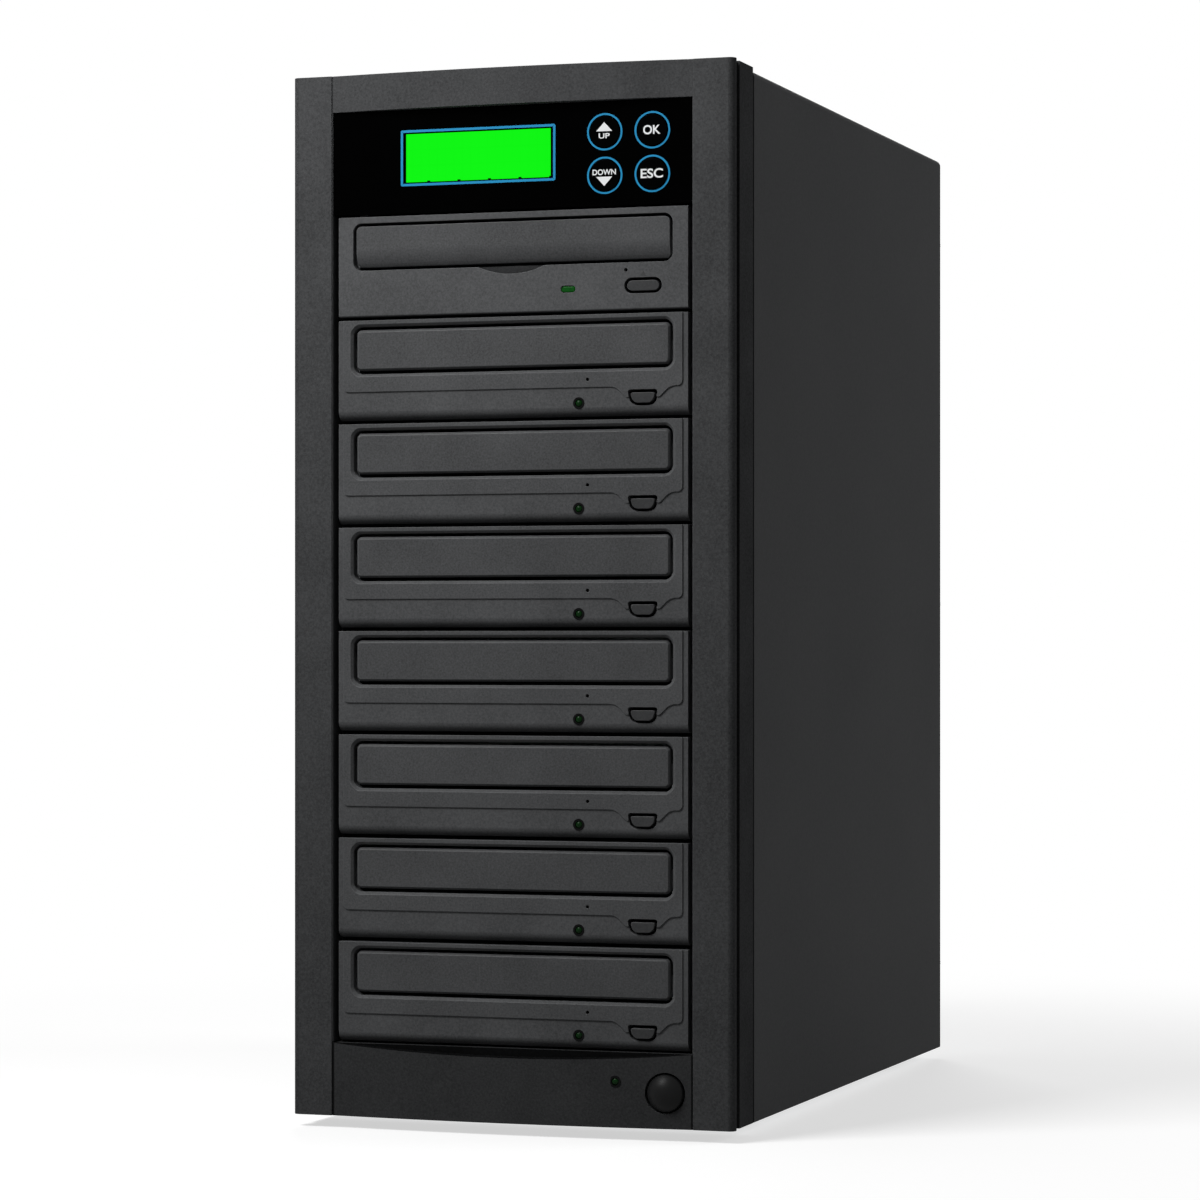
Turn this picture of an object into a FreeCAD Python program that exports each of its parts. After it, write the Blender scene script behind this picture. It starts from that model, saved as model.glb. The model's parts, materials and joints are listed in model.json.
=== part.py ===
import FreeCAD, Part
import math
import os
import re
import Sketcher

# A disc duplicator tower: eight tray-loading drives under a control panel, in a steel case
# with a moulded front. The front faces -Y, +X is the viewer's right and +Z is up.
# The origin lies under the middle of the tower, on the surface that it stands on.

DRIVES = 8
BAYS = DRIVES + 1
VENT_ROWS = 4
BLADES = 7
HUB_SIDES = 2 * BLADES
BORE_SIDES = 24
GRIP_SIDES = 12
PUNCH_SIDES = 8

# Driving dimensions in millimetres
SIZES = {
    # Drive bays behind the front opening
    "bay_pitch": 42.5,
    "bay_width": 154.8,
    "bay_setback": 1.6,
    # Front bezel: stiles, crowned middle band, hollow back and collar round the bays
    "stile_width": 17.2,
    "band_reveal": 0.4,
    "top_rail": 15,
    "lower_panel": 30,
    "bezel_depth": 30,
    "bezel_wall": 2.5,
    "bezel_skin": 4,
    "edge_round": 2.6,
    "edge_depth": 3.4,
    "groove_width": 7.6,
    "groove_depth": 2.4,
    "side_step": 1,
    "band_inset": 0.6,
    "band_crown": 4,
    "collar_wall": 2,
    "collar_floor": 5.4,
    "scoop_drop": 3.4,
    "scoop_end": 0.5,
    # Folded steel case
    "sheet": 1,
    "bend_radius": 3,
    "seam_gap": 1.4,
    "fit_gap": 0.3,
    "rear_lip": 13,
    "floor_flange": 14,
    "cage_length": 130,
    "cage_headroom": 4,
    "cable_space": 36.4,
    "screw_margin": 40,
    "thumb_head": 7,
    "thumb_radius": 5,
    "shank_radius": 1.75,
    "shank_length": 6,
    "shank_room": 0.25,
    # Rubber feet
    "foot_height": 5,
    "foot_radius": 11,
    "foot_side": 25,
    "foot_end": 55,
    # Drive housing, tray and fascia
    "housing_side": 4.4,
    "housing_gap": 1.2,
    "housing_wall": 1,
    "housing_depth": 165,
    "deck_thick": 1.2,
    "fascia_side": 1.9,
    "fascia_gap": 1.1,
    "fascia_thick": 5,
    "chin_round": 4,
    "door_margin": 7.7,
    "door_top": 3.8,
    "door_height": 17.2,
    "door_thick": 4,
    "door_gap": 1.2,
    "door_round": 2.2,
    "door_edge": 0.9,
    "door_inset": 0.2,
    "rim_bevel": 1.1,
    "tray_inset": 2,
    "tray_lift": 1.3,
    "tray_thick": 8.6,
    "tray_length": 158,
    "disc_radius": 61,
    "disc_depth": 3,
    "disc_front": 4,
    "hub_radius": 19,
    "hub_slot": 34,
    "hub_corner": 8,
    "hub_slot_end": 14,
    # Writer fascia: raised face, eject button, lamp and pinhole
    "face_raise": 0.6,
    "face_margin": 2.2,
    "crease_height": 12.3,
    "crease_dip": 4.4,
    "dip_side": 0.7,
    "dip_slope": 4.5,
    "eject_right": 20.9,
    "eject_height": 7.8,
    "eject_width": 11.6,
    "eject_foot": 9.8,
    "eject_sole": 6.6,
    "eject_tall": 5.2,
    "eject_cut": 1.6,
    "eject_gap": 0.6,
    "eject_proud": 0.5,
    "eject_length": 9,
    "lamp_right": 48.3,
    "lamp_height": 6.1,
    "lamp_radius": 1.7,
    "lamp_room": 0.15,
    "lamp_inset": 0.4,
    "lamp_length": 6,
    "pin_right": 44.3,
    "pin_height": 15.5,
    "pin_radius": 0.7,
    # Reader fascia: finger scoop, pill button and pill lamp
    "finger_chord": 29,
    "finger_drop": 3.1,
    "finger_depth": 2.5,
    "reader_chin": 0.8,
    "curl_tall": 8,
    "curl_depth": 2.4,
    "pill_width": 14.6,
    "pill_tall": 5.2,
    "pill_height": 10.3,
    "pill_lamp_right": 52.8,
    "pill_lamp_width": 6,
    "pill_lamp_tall": 2.5,
    "pill_lamp_cut": 0.8,
    "pill_lamp_height": 9.6,
    "reader_pin_right": 28.2,
    "reader_pin_height": 16.7,
    # Control panel: plate, display, keys and board
    "panel_gap": 0.2,
    "panel_setback": 1.2,
    "panel_thick": 3,
    "key_right": 17,
    "key_pitch_x": 20.1,
    "key_pitch_z": 17.5,
    "key_top": 12.5,
    "key_radius": 6.3,
    "key_room": 0.3,
    "key_proud": 0.7,
    "key_flange": 6.9,
    "key_flange_thick": 1,
    "key_stem": 2.5,
    "key_travel": 0.8,
    "display_width": 62.8,
    "display_tall": 19.9,
    "display_top": 9.9,
    "display_gap": 16.8,
    "display_inset": 0.4,
    "display_room": 0.1,
    "display_frame": 8,
    "board_space": 8,
    "board_thick": 1.6,
    "board_margin": 3,
    "boss_side": 4.4,
    "boss_corner": 4.5,
    "port_width": 17,
    "port_tall": 6,
    "port_depth": 9,
    "port_pitch": 24,
    # Power button, lamp and switch in the lower panel
    "power_right": 28.8,
    "power_height": 14.3,
    "power_radius": 7.5,
    "power_room": 0.7,
    "power_reach": 4.2,
    "power_dome": 3.6,
    "dome_flat": 4,
    "power_flange": 1.3,
    "power_skirt": 1.5,
    "power_stem": 4,
    "power_stem_length": 5,
    "power_travel": 2,
    "switch_width": 13,
    "switch_depth": 11,
    "power_lamp_gap": 20.5,
    "power_lamp_height": 18.5,
    # Power supply at the rear
    "psu_width": 150,
    "psu_height": 86,
    "psu_depth": 140,
    "psu_rim": 4,
    "supply_fan_gap": 5,
    "socket_side": 24,
    "socket_height": 26,
    "socket_width": 24,
    "socket_tall": 16,
    "socket_depth": 15,
    "socket_wall": 1.6,
    "socket_flange": 3,
    "socket_flange_thick": 2.5,
    "socket_corner": 4,
    "prong_length": 9,
    "prong_thick": 2,
    "prong_tall": 4,
    "prong_spread": 7,
    "prong_drop": 2.5,
    "rocker_height": 62,
    "rocker_width": 11,
    "rocker_tall": 17,
    "rocker_gap": 0.4,
    "rocker_wall": 1.4,
    "rocker_depth": 9,
    "rocker_flange": 2,
    "rocker_flange_thick": 1.6,
    "rocker_pivot": 2,
    "rocker_rise": 1.6,
    "rocker_keel": 4.5,
    "rocker_keel_half": 3.4,
    "rocker_tilt": 9,
    # Cooling fans
    "fan_size": 80,
    "fan_depth": 25,
    "fan_bore": 38,
    "fan_corner": 4,
    "fan_arm": 6,
    "fan_bite": 1,
    "fan_plate": 3,
    "fan_motor": 17,
    "fan_spindle": 2,
    "fan_spindle_length": 12,
    "rotor_hub": 18,
    "rotor_depth": 18,
    "rotor_cap": 1,
    "rotor_room": 0.08,
    "blade_thick": 1.4,
    "blade_bury": 4,
    "blade_tip_gap": 4,
    "blade_root_chord": 15,
    "blade_tip_chord": 25,
    "blade_pitch": 36,
    "rear_fan_rise": 150,
    "vent_radius": 37,
    "vent_slot": 5,
    "vent_bar": 4,
    "vent_rib": 4,
}

# Places worked out from the driving dimensions
PLACES = {
    "band_half": "bay_width / 2 + band_reveal",
    "case_half": "band_half + stile_width",
    "bay_base": "foot_height + lower_panel",
    "bay_top": f"bay_base + {BAYS} * bay_pitch",
    "case_top": "bay_top + top_rail",
    "panel_base": f"bay_base + {DRIVES} * bay_pitch",
    # Depths, counted from the stiles' front face
    "housing_start": "bay_setback + fascia_thick",
    "supply_start": "housing_start + housing_depth + cable_space",
    "wall_depth": "supply_start + psu_depth",
    "rear_depth": "wall_depth + sheet",
    "front_y": "-(rear_depth + sheet + thumb_head - power_reach) / 2",
    "bezel_back": "front_y + bezel_depth",
    "fascia_y": "front_y + bay_setback",
    "housing_y": "front_y + housing_start",
    "wall_y": "front_y + wall_depth",
    "rear_y": "front_y + rear_depth",
    # Steel case
    "cover_half": "case_half - side_step",
    "cover_top": "case_top - side_step",
    "chassis_half": "cover_half - sheet - fit_gap",
    "chassis_top": "cover_top - sheet - fit_gap",
    "floor_top": "foot_height + sheet",
    "web_half": "housing_half + fit_gap",
    "cage_top": "bay_top + cage_headroom",
    "screw_x": "cover_half - rear_lip / 2",
    # Drive, counted from its bay floor
    "housing_half": "bay_width / 2 - housing_side",
    "housing_top": "bay_pitch - housing_gap / 2",
    "fascia_half": "bay_width / 2 - fascia_side",
    "fascia_base": "fascia_gap / 2",
    "fascia_top": "bay_pitch - fascia_gap / 2",
    "door_half": "fascia_half - door_margin",
    "door_high": "fascia_top - door_top",
    "door_base": "door_high - door_height",
    "tray_base": "door_base + tray_lift",
    "tray_high": "tray_base + tray_thick",
    "tray_half": "door_half - tray_inset",
    "tray_y": "fascia_y + door_inset + door_thick",
    "disc_y": "tray_y + disc_front + disc_radius",
    "deck_high": "tray_base - fit_gap",
    "face_half": "fascia_half - face_margin",
    "eject_x": "bay_width / 2 - eject_right",
    # Control panel
    "panel_half": "bay_width / 2 - panel_gap",
    "panel_y": "front_y + panel_setback",
    "panel_back": "panel_y + panel_thick",
    "panel_low": "panel_base + panel_gap",
    "panel_high": "bay_top - panel_gap",
    "board_y": "panel_back + board_space",
    "key_x": "bay_width / 2 - key_right",
    "key_z": "bay_top - key_top",
    "display_x": "key_x - key_pitch_x - display_gap - key_radius - display_width / 2",
    "display_z": "bay_top - display_top - display_tall / 2",
    # Power button
    "power_x": "case_half - power_right",
    "power_z": "foot_height + power_height",
    "power_hole": "power_radius + power_room",
    "skin_back": "front_y + bezel_skin",
    "switch_y": "skin_back + fit_gap + power_skirt + power_stem_length + power_travel + fit_gap",
    # Power supply
    "socket_x": "psu_width / 2 - socket_side",
    "socket_z": "floor_top + socket_height",
    "rocker_z": "floor_top + rocker_height",
    "supply_fan_x": "-(psu_width / 2 - supply_fan_gap - fan_size / 2)",
    "supply_fan_z": "floor_top + psu_height / 2",
    "supply_fan_y": "wall_y - sheet",
    "rear_fan_z": "floor_top + psu_height + rear_fan_rise",
    "rocker_axis_y": "wall_y + rocker_flange_thick - rocker_pivot",
}

HALF_ROOT = 0.70710678
# Tolerance for telling which edges of a body lie where
CLOSE = 1e-3

doc = FreeCAD.newDocument("disc_duplicator")
sheet = doc.addObject("Spreadsheet::Sheet", "dims")
for row, (alias, size) in enumerate(SIZES.items(), 1):
    sheet.set(f"A{row}", alias)
    sheet.set(f"B{row}", str(size))
    sheet.setAlias(f"B{row}", alias)
doc.recompute()


def formula(text):
    """An expression on the sheet, with each place written out in driving dimensions."""
    def expand(match):
        word = match.group()
        if word in SIZES:
            return f"dims.{word}"
        if word in PLACES:
            return f"({formula(PLACES[word])})"
        return word
    return re.sub(r"[a-z_]\w*", expand, text)


def number(text):
    result = sheet.evalExpression(formula(text))
    return float(getattr(result, "Value", result))


def bind(item, prop, text):
    item.setExpression(prop, formula(text))


def point(x, y):
    return FreeCAD.Vector(number(x), number(y), 0)


class Drawing:
    """A sketch whose points and radii are bound to the sheet."""

    def __init__(self, body, plane, at, pitch=None):
        self.sketch = body.newObject("Sketcher::SketchObject", "sketch")
        support = next(f for f in body.Origin.OriginFeatures if f.Role == f"{plane}_Plane")
        self.sketch.AttachmentSupport = (support, [""])
        self.sketch.MapMode = "FlatFace"
        # The XZ plane looks towards the front, so its offset counts against Y
        bind(self.sketch, "AttachmentOffset.Base.z", f"-({at})" if plane == "XZ" else at)
        if pitch:
            turn = FreeCAD.Rotation(FreeCAD.Vector(1, 0, 0), number(pitch))
            self.sketch.AttachmentOffset = FreeCAD.Placement(FreeCAD.Vector(), turn)
            bind(self.sketch, "AttachmentOffset.Rotation.Angle", pitch)

    def fix(self, bound):
        """Adds constraints, given as (kind, geometry and ends, size), and binds each to its size."""
        made = [Sketcher.Constraint(kind, *ends, number(size)) for kind, ends, size in bound]
        first = self.sketch.addConstraint(made)[0]
        for index, (kind, ends, size) in enumerate(bound, first):
            self.sketch.setExpression(f"Constraints[{index}]", formula(size))

    def outline(self, corners):
        """A closed outline. A corner (x, y, radius, via_x, via_y) starts an arc to the next one;
        with no radius the arc's centre stands over or under that corner."""
        first = self.sketch.GeometryCount
        edges = []
        for index, corner in enumerate(corners):
            start = point(*corner[:2])
            stop = point(*corners[(index + 1) % len(corners)][:2])
            if len(corner) > 2:
                edges.append(Part.Arc(start, point(*corner[3:]), stop))
            else:
                edges.append(Part.LineSegment(start, stop))
        self.sketch.addGeometry(edges, False)
        ends = []
        for index, corner in enumerate(corners):
            near = self.sketch.getPoint(first + index, 1) - point(*corner[:2])
            ends.append((1, 2) if near.Length < CLOSE else (2, 1))
        joints = []
        bound = []
        for index, corner in enumerate(corners):
            edge = first + index
            after = (index + 1) % len(corners)
            meeting = (edge, ends[index][1], first + after, ends[after][0])
            joints.append(Sketcher.Constraint("Coincident", *meeting))
            bound.append(("DistanceX", (-1, 1, edge, ends[index][0]), corner[0]))
            bound.append(("DistanceY", (-1, 1, edge, ends[index][0]), corner[1]))
            if len(corner) > 2 and corner[2]:
                bound.append(("Radius", (edge,), corner[2]))
            elif len(corner) > 2:
                bound.append(("DistanceX", (-1, 1, edge, 3), corner[0]))
        self.sketch.addConstraint(joints)
        self.fix(bound)
        return self

    def rectangle(self, left, right, low, high):
        return self.outline([(left, low), (right, low), (right, high), (left, high)])

    def box(self, x, y, width, tall):
        return self.rectangle(f"{x} - ({width}) / 2", f"{x} + ({width}) / 2",
                              f"{y} - ({tall}) / 2", f"{y} + ({tall}) / 2")

    def disc(self, x, y, radius):
        circle = Part.Circle(point(x, y), FreeCAD.Vector(0, 0, 1), number(radius))
        edge = self.sketch.addGeometry(circle, False)
        self.fix([
            ("DistanceX", (-1, 1, edge, 3), x),
            ("DistanceY", (-1, 1, edge, 3), y),
            ("Radius", (edge,), radius),
        ])
        return self

    def polygon(self, x, y, radius, sides):
        """An even-sided outline with its flats at the given radius."""
        reach = 1 / math.cos(math.pi / sides)
        corners = []
        for n in range(sides):
            turn = (2 * n + 1) * math.pi / sides
            across = f"{x} + ({radius}) * ({reach * math.cos(turn):.6f})"
            up = f"{y} + ({radius}) * ({reach * math.sin(turn):.6f})"
            corners.append((across, up))
        return self.outline(corners)

    def lens(self, x, y, width, tall, cut):
        """A rectangle with its corners cut off."""
        across = f"({width}) / 2"
        up = f"({tall}) / 2"
        return self.outline([
            (f"{x} - {across} + {cut}", f"{y} - {up}"),
            (f"{x} + {across} - {cut}", f"{y} - {up}"),
            (f"{x} + {across}", f"{y} - {up} + {cut}"),
            (f"{x} + {across}", f"{y} + {up} - {cut}"),
            (f"{x} + {across} - {cut}", f"{y} + {up}"),
            (f"{x} - {across} + {cut}", f"{y} + {up}"),
            (f"{x} - {across}", f"{y} + {up} - {cut}"),
            (f"{x} - {across}", f"{y} - {up} + {cut}"),
        ])

    def pill(self, x, y, width, tall):
        left = f"{x} - ({width}) / 2 + ({tall}) / 2"
        right = f"{x} + ({width}) / 2 - ({tall}) / 2"
        low = f"{y} - ({tall}) / 2"
        high = f"{y} + ({tall}) / 2"
        return self.outline([
            (left, low),
            (right, low, None, f"{x} + ({width}) / 2", y),
            (right, high),
            (left, high, None, f"{x} - ({width}) / 2", y),
        ])

    def arch(self, half, base, top, thick, radius):
        """An upside-down U with round outer shoulders."""
        shoulder = f"{radius} * {1 - HALF_ROOT}"
        return self.outline([
            (half, base),
            (half, f"{top} - {radius}", radius, f"{half} - {shoulder}", f"{top} - {shoulder}"),
            (f"{half} - {radius}", top),
            (f"-({half} - {radius})", top, radius, f"-({half} - {shoulder})", f"{top} - {shoulder}"),
            (f"-({half})", f"{top} - {radius}"),
            (f"-({half})", base),
            (f"-({half} - {thick})", base),
            (f"-({half} - {thick})", f"{top} - {thick}"),
            (f"{half} - {thick}", f"{top} - {thick}"),
            (f"{half} - {thick}", base),
        ])

    def vent_row(self, x, z, row):
        """One slot each side of a vent's upright rib, in the rows above and below its middle."""
        near = f"(vent_bar / 2 + {row} * (vent_slot + vent_bar))"
        far = f"({near} + vent_slot)"
        reach = f"sqrt(vent_radius ^ 2 - {far} ^ 2)"
        for side in ("-", "+"):
            for low, high in ((f"{z} + {near}", f"{z} + {far}"), (f"{z} - {far}", f"{z} - {near}")):
                self.rectangle(f"{x} {side} vent_rib / 2", f"{x} {side} {reach}", low, high)
        return self


class Piece:
    """A body that is built up feature by feature."""

    def __init__(self, label):
        self.body = doc.addObject("PartDesign::Body", label)
        self.body.Label = label

    def on(self, plane, at="0", pitch=None):
        return Drawing(self.body, plane, at, pitch)

    def feature(self, kind, drawing):
        feature = self.body.newObject(f"PartDesign::{kind}", kind.lower())
        feature.Profile = drawing.sketch
        return feature

    def pad(self, drawing, length, reverse=False):
        """Adds material along the sketch's normal: to the front from XZ, up from XY."""
        pad = self.feature("Pad", drawing)
        bind(pad, "Length", length)
        pad.Reversed = reverse
        doc.recompute()
        return pad

    def pocket(self, drawing, length=None, reverse=False):
        """Cuts against the sketch's normal: to the back from XZ, down from XY."""
        before = self.body.Shape.Volume
        pocket = self.feature("Pocket", drawing)
        if length:
            bind(pocket, "Length", length)
        else:
            pocket.Type = "ThroughAll"
        pocket.Reversed = reverse
        doc.recompute()
        if self.body.Shape.Volume >= before:
            raise RuntimeError(f"a pocket of {self.body.Label} cuts nothing")
        return pocket

    def vent(self, at, x, z, depth):
        """A round field of level slots."""
        for row in range(VENT_ROWS):
            self.pocket(self.on("XZ", at).vent_row(x, z, row), depth)

    def axis(self, role):
        return next(f for f in self.body.Origin.OriginFeatures if f.Role == f"{role}_Axis")

    def revolve(self, drawing, axis):
        turn = self.feature("Revolution", drawing)
        turn.ReferenceAxis = (self.axis(axis), [""])
        turn.Angle = 360
        doc.recompute()
        return turn

    def polar(self, feature, axis, count):
        pattern = self.body.newObject("PartDesign::PolarPattern", "polar")
        pattern.Originals = [feature]
        pattern.Axis = (self.axis(axis), [""])
        pattern.Angle = 360
        pattern.Occurrences = count
        self.body.Tip = pattern
        doc.recompute()
        return pattern

    def soften(self, kind, test, prop, size):
        """Rounds or bevels the edges whose bounding box passes the test."""
        base = self.body.Tip
        names = [f"Edge{n}" for n, edge in enumerate(base.Shape.Edges, 1) if test(edge.BoundBox)]
        if not names:
            raise RuntimeError(f"{self.body.Label} has no such edge to soften")
        dress = self.body.newObject(f"PartDesign::{kind}", kind.lower())
        dress.Base = (base, names)
        bind(dress, prop, size)
        doc.recompute()

    def fillet(self, test, radius):
        self.soften("Fillet", test, "Radius", radius)

    def chamfer(self, test, size):
        self.soften("Chamfer", test, "Size", size)


def same(value, text):
    return abs(value - number(text)) < CLOSE


def placed(label, masters, x="0", y="0", z="0", turn_x=None):
    """A piece made of finished bodies, set down at its own place."""
    item = doc.addObject("Part::Compound", label)
    item.Label = label
    item.Links = masters
    bind(item, "Placement.Base.x", x)
    bind(item, "Placement.Base.y", y)
    bind(item, "Placement.Base.z", z)
    if turn_x:
        item.Placement.Rotation = FreeCAD.Rotation(FreeCAD.Vector(1, 0, 0), number(turn_x))
        bind(item, "Placement.Rotation.Angle", turn_x)
    return item


def crown_radius():
    return "((band_half ^ 2 + band_crown ^ 2) / (2 * band_crown))"


def band_face(x):
    """Depth of the crowned band's face at a distance from the middle."""
    fall = f"{crown_radius()} - sqrt({crown_radius()} ^ 2 - ({x}) ^ 2)"
    return f"front_y + band_inset - band_crown + {fall}"


def front_bezel():
    """One moulding: stiles with a rounded edge, a crowned band, and a collar round the bays."""
    bezel = Piece("front_bezel")
    nib = f"edge_round * {1 - HALF_ROOT}"

    def flank(sign):
        side = [
            ("cover_half", "bezel_back"),
            ("cover_half", "front_y + edge_depth + groove_width"),
            ("case_half - groove_depth", "front_y + edge_depth + groove_width"),
            ("case_half - groove_depth", "front_y + edge_depth"),
            ("case_half", "front_y + edge_depth"),
            ("case_half", "front_y + edge_round"),
            ("case_half - edge_round", "front_y"),
            ("band_half", "front_y"),
            ("band_half", "front_y + band_inset"),
        ]
        return [(f"{sign}({x})", y) for x, y in side]

    right = flank("")
    left = flank("-")[::-1]
    right[5] += ("edge_round", f"case_half - {nib}", f"front_y + {nib}")
    right[8] += (crown_radius(), "0", "front_y + band_inset - band_crown")
    left[2] += ("edge_round", f"-(case_half - {nib})", f"front_y + {nib}")
    bezel.pad(bezel.on("XY", "foot_height").outline(right + left), "case_top - foot_height")

    hollow = bezel.on("XZ", "skin_back")
    hollow.rectangle("-(cover_half - bezel_wall)", "cover_half - bezel_wall",
                     "foot_height + bezel_wall", "case_top - bezel_wall")
    hollow.rectangle("-(bay_width / 2 + collar_wall)", "bay_width / 2 + collar_wall",
                     "bay_base - collar_floor", "bay_top + collar_wall")
    bezel.pocket(hollow)
    bays = bezel.on("XZ", "bezel_back").rectangle(
        "-bay_width / 2", "bay_width / 2", "bay_base", "bay_top")
    bezel.pocket(bays, reverse=True)

    scoop_half = "(bay_width / 2 - scoop_end)"
    scoop_radius = f"({scoop_half} ^ 2 + scoop_drop ^ 2) / (2 * scoop_drop)"
    scoop = bezel.on("XZ", "fascia_y").outline([
        (f"-{scoop_half}", "bay_base", scoop_radius, "0", "bay_base - scoop_drop"),
        (scoop_half, "bay_base"),
    ])
    bezel.pocket(scoop, reverse=True)
    holes = bezel.on("XZ", "bezel_back")
    holes.disc("power_x", "power_z", "power_hole")
    holes.polygon("power_x - power_lamp_gap", "foot_height + power_lamp_height",
                  "lamp_radius + lamp_room", PUNCH_SIDES)
    bezel.pocket(holes, reverse=True)
    return bezel.body


def chassis():
    """Floor with turned-up sides, and the rear wall with its vent and the supply's window."""
    pan = Piece("chassis")
    floor = pan.on("XZ", "wall_y").outline([
        ("-chassis_half", "foot_height"),
        ("chassis_half", "foot_height"),
        ("chassis_half", "floor_top + floor_flange"),
        ("chassis_half - sheet", "floor_top + floor_flange"),
        ("chassis_half - sheet", "floor_top"),
        ("-(chassis_half - sheet)", "floor_top"),
        ("-(chassis_half - sheet)", "floor_top + floor_flange"),
        ("-chassis_half", "floor_top + floor_flange"),
    ])
    pan.pad(floor, "wall_y - bezel_back")
    wall = pan.on("XZ", "wall_y").rectangle(
        "-chassis_half", "chassis_half", "foot_height", "chassis_top")
    pan.pad(wall, "sheet", reverse=True)
    cuts = pan.on("XZ", "wall_y")
    cuts.rectangle("-(psu_width / 2 - psu_rim)", "psu_width / 2 - psu_rim",
                   "floor_top + psu_rim", "floor_top + psu_height - psu_rim")
    for x, z in screw_places():
        cuts.polygon(x, z, "shank_radius + shank_room", PUNCH_SIDES)
    pan.pocket(cuts)
    pan.vent("wall_y", "0", "rear_fan_z", "sheet")
    return pan.body


def screw_places():
    """Three thumbscrews down each side of the rear wall."""
    heights = (
        "foot_height + screw_margin",
        "(foot_height + cover_top) / 2",
        "cover_top - screw_margin",
    )
    return [(f"{sign}screw_x", z) for sign in ("-", "") for z in heights]


def cover():
    """Steel wrap over the top and both sides, with lips turned in over the rear wall."""
    wrap = Piece("cover")
    shell = wrap.on("XZ", "rear_y").arch("cover_half", "foot_height", "cover_top", "sheet", "bend_radius")
    wrap.pad(shell, "rear_y - bezel_back - seam_gap")
    lips = wrap.on("XZ", "rear_y").arch("cover_half", "foot_height", "cover_top", "rear_lip", "bend_radius")
    wrap.pad(lips, "sheet", reverse=True)
    holes = wrap.on("XZ", "rear_y")
    for x, z in screw_places():
        holes.polygon(x, z, "shank_radius + shank_room", PUNCH_SIDES)
    wrap.pocket(holes)
    return wrap.body


def drive_cage():
    """Two upright webs joined over the bays, with front flanges that carry the bezel."""
    cage = Piece("drive_cage")
    frame = cage.on("XZ", "bezel_back").outline([
        ("web_half", "floor_top"),
        ("web_half + sheet", "floor_top"),
        ("web_half + sheet", "cage_top"),
        ("-(web_half + sheet)", "cage_top"),
        ("-(web_half + sheet)", "floor_top"),
        ("-web_half", "floor_top"),
        ("-web_half", "cage_top - sheet"),
        ("web_half", "cage_top - sheet"),
    ])
    cage.pad(frame, "cage_length", reverse=True)
    flanges = cage.on("XZ", "bezel_back")
    flanges.rectangle("web_half", "chassis_half - sheet - fit_gap", "floor_top", "cage_top")
    flanges.rectangle("-(chassis_half - sheet - fit_gap)", "-web_half", "floor_top", "cage_top")
    cage.pad(flanges, "sheet", reverse=True)
    return cage.body


def feet():
    foot = Piece("foot")
    foot.pad(foot.on("XY").polygon("0", "0", "foot_radius", BORE_SIDES), "foot_height")
    spots = [
        placed(f"foot_{side}_{end}", [foot.body], x=f"{sign}(case_half - foot_side)", y=y)
        for side, sign in (("left", "-"), ("right", ""))
        for end, y in (("front", "front_y + foot_end"), ("rear", "rear_y - foot_end"))
    ]
    return placed("feet", spots)


def thumbscrews():
    """Screws with a fluted head that is turned by hand, in eight-sided holes."""
    screw = Piece("thumbscrew")
    head = screw.on("XZ").polygon("0", "0", "thumb_radius", GRIP_SIDES)
    screw.pad(head, "thumb_head", reverse=True)
    screw.pad(screw.on("XZ").polygon("0", "0", "shank_radius", PUNCH_SIDES), "shank_length")
    spots = [
        placed(f"thumbscrew_{n}", [screw.body], x=x, y="rear_y + sheet", z=z)
        for n, (x, z) in enumerate(screw_places())
    ]
    return placed("cover_screws", spots)


def drive_housing():
    """Steel box with a tray bay over a deck, and a mechanism bay under it, closed at the rear."""
    box = Piece("drive_housing")
    outer = box.on("XZ", "housing_y").rectangle(
        "-housing_half", "housing_half", "housing_gap / 2", "housing_top")
    box.pad(outer, "housing_depth", reverse=True)
    bays = box.on("XZ", "housing_y")
    bays.outline([
        ("-(tray_half + fit_gap)", "deck_high"),
        ("tray_half + fit_gap", "deck_high"),
        ("tray_half + fit_gap", "tray_high"),
        ("housing_half - housing_wall", "tray_high"),
        ("housing_half - housing_wall", "housing_top - housing_wall"),
        ("-(housing_half - housing_wall)", "housing_top - housing_wall"),
        ("-(housing_half - housing_wall)", "tray_high"),
        ("-(tray_half + fit_gap)", "tray_high"),
    ])
    bays.rectangle("-(housing_half - housing_wall)", "housing_half - housing_wall",
                   "housing_gap / 2 + housing_wall", "deck_high - deck_thick")
    box.pocket(bays, "housing_depth - housing_wall")
    return box.body


def fascia_block(label, chin):
    """Moulded drive front with its lower edge rounded, before its own details."""
    fascia = Piece(label)
    block = fascia.on("XZ", "housing_y").rectangle(
        "-fascia_half", "fascia_half", "fascia_base", "fascia_top")
    fascia.pad(block, "fascia_thick")
    fascia.fillet(lambda b: same(b.ZMax, "fascia_base") and same(b.YMax, "fascia_y"), chin)
    return fascia


def door_opening(fascia, front):
    """The slot that the tray door fills, with cut corners."""
    opening = fascia.on("XZ", front).rectangle(
        "-(door_half + door_gap)", "door_half + door_gap", "door_base - door_gap", "door_high + door_gap")
    fascia.pocket(opening)
    side = "door_half + door_gap"

    def is_corner(b):
        return b.YLength > CLOSE and same(abs(b.XMax), side) and b.XLength < CLOSE

    fascia.chamfer(is_corner, "door_round")


def bevel_rim(fascia, front):
    """A bevel round the front edge of the door's slot."""
    side = "door_half + door_gap"
    low = "door_base - door_gap"
    high = "door_high + door_gap"

    def is_rim(b):
        inside = b.ZMin > number(low) - CLOSE and b.ZMax < number(high) + CLOSE
        return inside and same(b.YMax, front) and abs(b.XMax) < number(side) + CLOSE

    fascia.chamfer(is_rim, "rim_bevel")


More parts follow.
